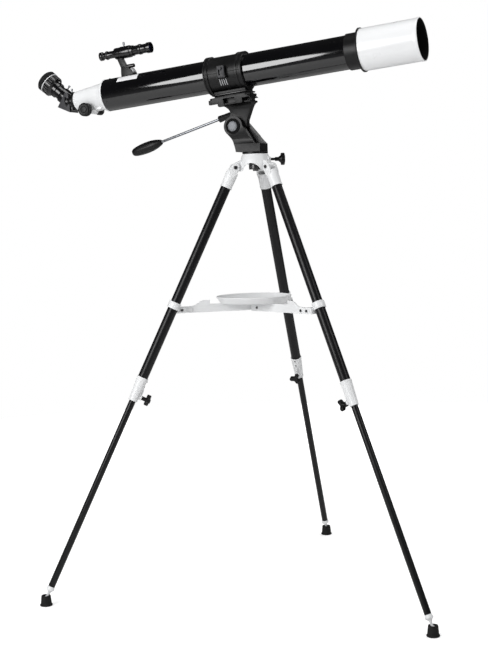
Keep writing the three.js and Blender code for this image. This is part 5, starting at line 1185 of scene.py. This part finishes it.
class TELESCOPE_OT_eyepiece(bpy.types.Operator):
    """Diagonal with its side plates, and the eyepiece"""
    bl_idname = "telescope.eyepiece"
    bl_label = "Diagonal and Eyepiece"

    def execute(self, context):
        scope = telescope_axes()
        self.add_diagonal(scope)
        self.add_eyepiece(scope)
        return {"FINISHED"}

    def add_diagonal(self, scope):
        along = scope @ ALONG_X
        front, neck_back, neck, port, port_front, bore = -464, -480.5, 22.4, 15.9, -434, 13.5
        grip = sleeve([
            (bore, neck_back), (neck, neck_back), (neck, neck_back + 4), (neck - 1.4, neck_back + 5),
            (neck - 1.4, front - 4), (neck, front - 3), (neck, front), (port, front),
            (port, port_front), (bore, port_front)], 0.4, 96)
        face = neck_back + 11
        outline = [(face, -26.5), (face - 34, -9), (face - 9, 22), (face, 20)]
        half_width = 18.6
        body = add_piece("diagonal_body", plate(outline, -half_width, half_width), scope,
                         "gloss_abs", 1.6)
        stand_for(body, "diagonal")
        ride_with(add_piece("diagonal_neck", grip, along, "gloss_abs"), "diagonal")
        block_sides = [(face + 0.2, -24), (face + 0.2, 18), (front, 17), (front, -22)]
        ride_with(add_piece("diagonal_block", plate(block_sides, 2 - half_width, half_width - 2),
                            scope, "gloss_abs", 1.2), "diagonal")

        # The screw that holds the diagonal in the drawtube
        screw = moved(thumbscrew(neck - 2.4, neck + 3.8, neck + 8.4), shift(x=front - 5))
        ride_with(add_piece("neck_screw", screw, scope, "bright_chrome"), "diagonal")

        # Grey side plates, a little proud of the body
        inset = [(face - 0.8, -26.5), (face - 33, -9.2), (face - 9.4, 21.4), (face - 1.4, 20)]
        for side in (-1, 1):
            low, high = sorted((side * (half_width - 0.5), side * (half_width + 0.9)))
            name = "near" if side < 0 else "far"
            ride_with(add_piece(f"{name}_side_plate", plate(inset, low, high), scope, "grey_abs", 0.5),
                      "diagonal")

    def add_eyepiece(self, scope):
        bend = -475
        out, side = joint_way("eyepiece_out"), -joint_way("tilt")
        place = axes_at(scope @ (Vector((bend, 0, 0)) * MM), side.cross(out), side)
        barrel, inside, low, collar, collar_radius = 15.87, 14.27, 8, 43, 18.8
        head, line, end, radius, cup, cup_floor = 55, 73.8, 91, 26.6, 15, 84
        socket_radius, socket_end = 18.6, 29
        socket_sleeve = tube(socket_radius, barrel + 0.3, low - 0.3, socket_end, 0.8)
        ride_with(add_piece("eyepiece_socket", socket_sleeve, place, "gloss_abs"), "diagonal")
        screw = thumbscrew(socket_radius - 1, socket_radius + 5.4, socket_radius + 10)
        ride_with(add_piece("socket_screw", moved(screw, shift(z=socket_end - 3), ALONG_X), place,
                            "bright_chrome"), "diagonal")
        body = solid([
            (0, head), (inside, collar), (inside, low), (barrel, low), (barrel, collar),
            (collar_radius, collar + 0.3), (collar_radius, head - 3), (radius - 6, head),
            (radius - 2.5, head + 3), (radius - 1.4, line), (0, line)], 0.8)
        stand_for(add_piece("eyepiece_body", body, place, "gloss_abs"), "eyepiece")
        ribs("eyepiece_scallops", "eyepiece", place, "gloss_abs", 24, radius - 3.3, head + 4, line - 1,
             2.4)
        white_line = tube(radius - 0.2, radius - 6, line, line + 1.5, 0.2)
        ride_with(add_piece("eyepiece_line", white_line, place, "white_abs"), "eyepiece")
        grip = solid([
            (0, line + 1.5), (radius - 1, line + 1.5), (radius - 1, end - 4), (radius - 4.5, end - 0.2),
            (cup + 1, end - 0.2), (cup - 2, cup_floor), (9, cup_floor), (7, cup_floor - 2),
            (0, cup_floor - 2)], 1)
        ride_with(add_piece("eyepiece_grip", grip, place, "moulded_rubber"), "eyepiece")
        ribs("eyepiece_grip_ribs", "eyepiece", place, "moulded_rubber", 64, radius - 1.1, line + 2,
             end - 4.5, 0.8)
        lens = turned(bulging(8.8, cup_floor - 1.2, 0.9, cup_floor - 3), 64)
        ride_with(add_piece("eye_lens", lens, place, "coated_glass"), "eyepiece")


class TELESCOPE_OT_finder(bpy.types.Operator):
    """Finder in its bracket"""
    bl_idname = "telescope.finder"
    bl_label = "Finder"

    def execute(self, context):
        scope = telescope_axes()
        height = 92
        self.add_finder(scope @ shift(z=height * MM) @ ALONG_X)
        self.add_bracket(scope, height)
        return {"FINISHED"}

    def add_finder(self, place):
        flange, eye, focus_ring, body, barrel, band, mouth = 10, 7.6, 9.6, 8.6, 10.6, 12.2, 12.4
        back, body_start, ring_back, band_back, front, wall = -381, -360, -340, -278, -246, 1.4
        profile = [
            (0, back + 5), (5.5, back + 5), (7.5, back), (flange, back), (flange, back + 7),
            (eye, back + 9.5), (eye, body_start - 5), (focus_ring, body_start - 5),
            (focus_ring, body_start), (body, body_start + 0.5), (body, ring_back - 1),
            (barrel, ring_back + 1), (barrel, band_back - 0.5), (band, band_back + 0.5),
            (band, band_back + 6), (barrel, band_back + 7.5), (barrel, front - 12),
            (mouth, front - 10), (mouth, front), (mouth - wall, front), (mouth - wall, front - 9),
            (barrel - wall, front - 14), (0, front - 14)]
        obj = add_piece("finder_body", solid(profile, 0.9, 72), place, "gloss_abs")
        stand_for(obj, "finder_tube")
        ribs("finder_ring_ribs", "finder_tube", place, "gloss_abs", 30, focus_ring, body_start - 4.4,
             body_start - 0.6, 0.5)
        lens = turned(bulging(10.8, front - 5, 1.6, front - 9), 64)
        ride_with(add_piece("finder_lens", lens, place, "coated_glass"), "finder_tube")

    def add_bracket(self, scope, height):
        along = scope @ shift(z=height * MM) @ ALONG_X
        bore, radius, ring_back, ring_front = 10.9, 14, -340, -292
        ring = sleeve([
            (bore, ring_back), (radius - 0.8, ring_back), (radius - 0.8, ring_back + 14),
            (radius, ring_back + 15), (radius, ring_front - 8), (radius - 1.6, ring_front - 7),
            (radius - 1.6, ring_front), (bore, ring_front)], 0.8, 80)
        stand_for(add_piece("bracket_ring", ring, along, "gloss_abs"), "finder_bracket")
        foot_top, foot_back, foot_front, half_width = 56, -327, -296, 11
        space = moved(bar(bore, ring_back - 5, ring_front + 5), shift(z=height), ALONG_X)
        stalk = [(-337, height - bore - 1), (-327, foot_top - 4.6), (-311, foot_top - 4.6),
                 (-322, height - bore - 1)]
        ride_with(add_piece("bracket_stalk", plate(stalk, -4.5, 4.5), scope, "black_nylon", 1.2,
                            (space,)), "finder_bracket")
        seat = moved(bar(37.5, foot_back - 5, foot_front + 5, 0, 160), ALONG_X)
        side = [(foot_back, 30), (foot_back, 42), (foot_back + 1.4, foot_top), (-306.4, foot_top),
                (foot_front, 42), (foot_front, 30)]
        ride_with(add_piece("bracket_foot", plate(side, -half_width, half_width), scope, "black_nylon",
                            1.2, (seat,)), "finder_bracket")
        bolt = moved(bar(4.6, -327, -294.6, 2.2), shift(z=foot_top + 2.3), ALONG_X)
        ride_with(add_piece("bracket_bolt", bolt, scope, "gloss_abs"), "finder_bracket")
        # Pale ribbed wedge that locks the foot
        wedge = [(foot_front - 1, 41), (foot_front - 6.5, 51.5), (foot_front - 4, 53),
                 (foot_front + 1.2, 43.5)]
        ribbed = [plate(wedge, y, y + 1.3) for y in (-8, -5.7, -3.4, -1.1, 1.2, 3.5, 5.8)]
        ride_with(add_piece("bracket_wedge", together(*ribbed), scope, "pale_abs", 0.3),
                  "finder_bracket")
        screw = thumbscrew(height + 10, height + 16, height + 23.9)
        ride_with(add_piece("bracket_thumbscrew", moved(screw, shift(x=-316)), scope, "bright_chrome"),
                  "finder_bracket")


# The stage

class TELESCOPE_OT_stage(bpy.types.Operator):
    """Pale floor, backdrop, soft lamps and the camera"""
    bl_idname = "telescope.stage"
    bl_label = "Stage"

    def execute(self, context):
        stage = context.scene.telescope_stage
        self.add_camera(context, stage)
        self.add_floor(context, stage)
        self.add_world(context, stage)
        self.add_lamps(context)
        context.scene.view_settings.view_transform = "Standard"
        return {"FINISHED"}

    def add_camera(self, context, stage):
        lens = bpy.data.cameras.new("camera")
        lens.sensor_fit = "VERTICAL"
        lens.sensor_height = 36
        lens.lens = stage.lens
        lens.clip_end = 50
        camera = bpy.data.objects.new("camera", lens)
        back = Vector((math.sin(stage.azimuth) * math.cos(stage.elevation),
                       -math.cos(stage.azimuth) * math.cos(stage.elevation),
                       math.sin(stage.elevation)))
        right = Vector((math.cos(stage.azimuth), math.sin(stage.azimuth), 0))
        up = back.cross(right)
        rolled_right = right * math.cos(stage.roll) + up * math.sin(stage.roll)
        rolled_up = up * math.cos(stage.roll) - right * math.sin(stage.roll)
        facing = Matrix((rolled_right, rolled_up, back)).transposed().to_4x4()
        camera.matrix_world = Matrix.Translation(stage.camera_place) @ facing
        context.scene.collection.objects.link(camera)
        context.scene.camera = camera

    def add_floor(self, context, stage):
        """A round floor that keeps the shadow near the feet and turns white towards its rim."""
        shape = bmesh.new()
        bmesh.ops.create_circle(shape, cap_ends=True, segments=96, radius=2.7)
        mesh = bpy.data.meshes.new("floor")
        shape.to_mesh(mesh)
        shape.free()
        floor = bpy.data.objects.new("floor", mesh)
        context.scene.collection.objects.link(floor)
        # Seamless background paper: matte, and bright enough to show white
        paper, shader = new_material("studio_paper")
        tree = paper.node_tree
        shader.inputs["Base Color"].default_value = shade(stage.backdrop, 0.8)
        shader.inputs["Roughness"].default_value = 0.9
        shader.inputs["Specular IOR Level"].default_value = 0.1
        ray = add_node(tree, "ShaderNodeLightPath")
        place = add_node(tree, "ShaderNodeTexCoord")
        reach = add_node(tree, "ShaderNodeVectorMath", links={0: place.outputs["Object"]},
                         operation="LENGTH")
        fade = add_node(tree, "ShaderNodeMapRange", {"From Min": 0.6, "From Max": 1.8,
                                                     "To Min": 0.45, "To Max": 1.0},
                        {"Value": reach.outputs["Value"]})
        share = add_node(tree, "ShaderNodeMath", links={
            0: ray.outputs["Is Camera Ray"], 1: fade.outputs["Result"]}, operation="MULTIPLY")
        glow = add_node(tree, "ShaderNodeEmission", {"Color": linear(stage.backdrop)},
                        {"Strength": share.outputs[0]})
        both = add_node(tree, "ShaderNodeAddShader", links={
            0: shader.outputs["BSDF"], 1: glow.outputs["Emission"]})
        out = next(node for node in tree.nodes if node.type == "OUTPUT_MATERIAL")
        tree.links.new(both.outputs["Shader"], out.inputs["Surface"])
        mesh.materials.append(paper)

    def add_world(self, context, stage):
        """White to the camera; a dim dome with a pale skirting to gloss; plain light otherwise."""
        world = bpy.data.worlds.new("studio")
        context.scene.world = world
        world.use_nodes = True
        tree = world.node_tree
        tree.nodes.clear()
        ray = add_node(tree, "ShaderNodeLightPath")
        place = add_node(tree, "ShaderNodeTexCoord")
        height = add_node(tree, "ShaderNodeSeparateXYZ", links={0: place.outputs["Generated"]})
        ramp = add_node(tree, "ShaderNodeMapRange", {"From Min": -0.35, "From Max": 0.02,
                                                     "To Min": 0.23, "To Max": 0.04},
                        {"Value": height.outputs["Z"]})
        white = linear(stage.backdrop)
        dome = add_node(tree, "ShaderNodeBackground", {"Color": white},
                        {"Strength": ramp.outputs["Result"]})
        plain = add_node(tree, "ShaderNodeBackground", {"Color": white, "Strength": 0.42})
        seen = add_node(tree, "ShaderNodeBackground", {"Color": white})
        through = add_node(tree, "ShaderNodeMath", links={
            0: ray.outputs["Is Camera Ray"], 1: ray.outputs["Is Transmission Ray"]},
            operation="MAXIMUM")
        lit = add_node(tree, "ShaderNodeMixShader", links={
            0: ray.outputs["Is Glossy Ray"], 1: plain.outputs[0], 2: dome.outputs[0]})
        shown = add_node(tree, "ShaderNodeMixShader", links={
            0: through.outputs[0], 1: lit.outputs[0], 2: seen.outputs[0]})
        add_node(tree, "ShaderNodeOutputWorld", links={"Surface": shown.outputs[0]})

    def add_lamps(self, context):
        """A tall oval softbox in front of the tube and weaker ones round the object."""
        target = Vector((0, 0, 1.1))
        for name, azimuth, elevation, distance, width, tall, power in (
                ("key_lamp", -21, 8, 2.6, 1.2, 1.5, 40),
                ("right_lamp", 75, 20, 2.8, 0.7, 1.4, 11),
                ("far_lamp", 160, 35, 2.8, 1.6, 0.6, 14),
                ("top_lamp", 40, 80, 2.4, 1.4, 1.4, 20)):
            lamp = bpy.data.lights.new(name, "AREA")
            lamp.shape = "ELLIPSE"
            lamp.size = width
            lamp.size_y = tall
            lamp.energy = power
            heading, height = math.radians(azimuth), math.radians(elevation)
            way = Vector((math.sin(heading) * math.cos(height), -math.cos(heading) * math.cos(height),
                          math.sin(height)))
            obj = bpy.data.objects.new(name, lamp)
            obj.location = target + way * distance
            obj.rotation_euler = way.to_track_quat("Z", "Y").to_euler()
            context.scene.collection.objects.link(obj)


class TELESCOPE_PT_panel(bpy.types.Panel):
    bl_idname = "TELESCOPE_PT_panel"
    bl_label = "Telescope"
    bl_space_type = "VIEW_3D"
    bl_region_type = "UI"
    bl_category = "Telescope"

    def draw(self, context):
        layout = self.layout
        for group in (context.scene.telescope_colours, context.scene.telescope_sizes,
                      context.scene.telescope_stage):
            box = layout.box()
            for name in group.__annotations__:
                box.prop(group, name)
        for operator in operators:
            layout.operator(operator.bl_idname)


operators = (TELESCOPE_OT_stage, TELESCOPE_OT_legs, TELESCOPE_OT_brace, TELESCOPE_OT_head,
             TELESCOPE_OT_tube, TELESCOPE_OT_focuser, TELESCOPE_OT_eyepiece, TELESCOPE_OT_finder)
groups = (("telescope_colours", TelescopeColours), ("telescope_sizes", TelescopeSizes),
          ("telescope_stage", TelescopeStage))


def register():
    for name, group in groups:
        bpy.utils.register_class(group)
        setattr(bpy.types.Scene, name, bpy.props.PointerProperty(type=group))
    for cls in (*operators, TELESCOPE_PT_panel):
        bpy.utils.register_class(cls)


def unregister():
    for cls in (TELESCOPE_PT_panel, *reversed(operators)):
        bpy.utils.unregister_class(cls)
    for name, group in reversed(groups):
        delattr(bpy.types.Scene, name)
        bpy.utils.unregister_class(group)


def main():
    register()
    finishes.update(make_finishes())
    bpy.ops.telescope.stage()
    bpy.ops.telescope.legs()
    bpy.ops.telescope.brace()
    bpy.ops.telescope.head()
    bpy.ops.telescope.tube()
    bpy.ops.telescope.focuser()
    bpy.ops.telescope.eyepiece()
    bpy.ops.telescope.finder()


if __name__ == "__main__":
    main()
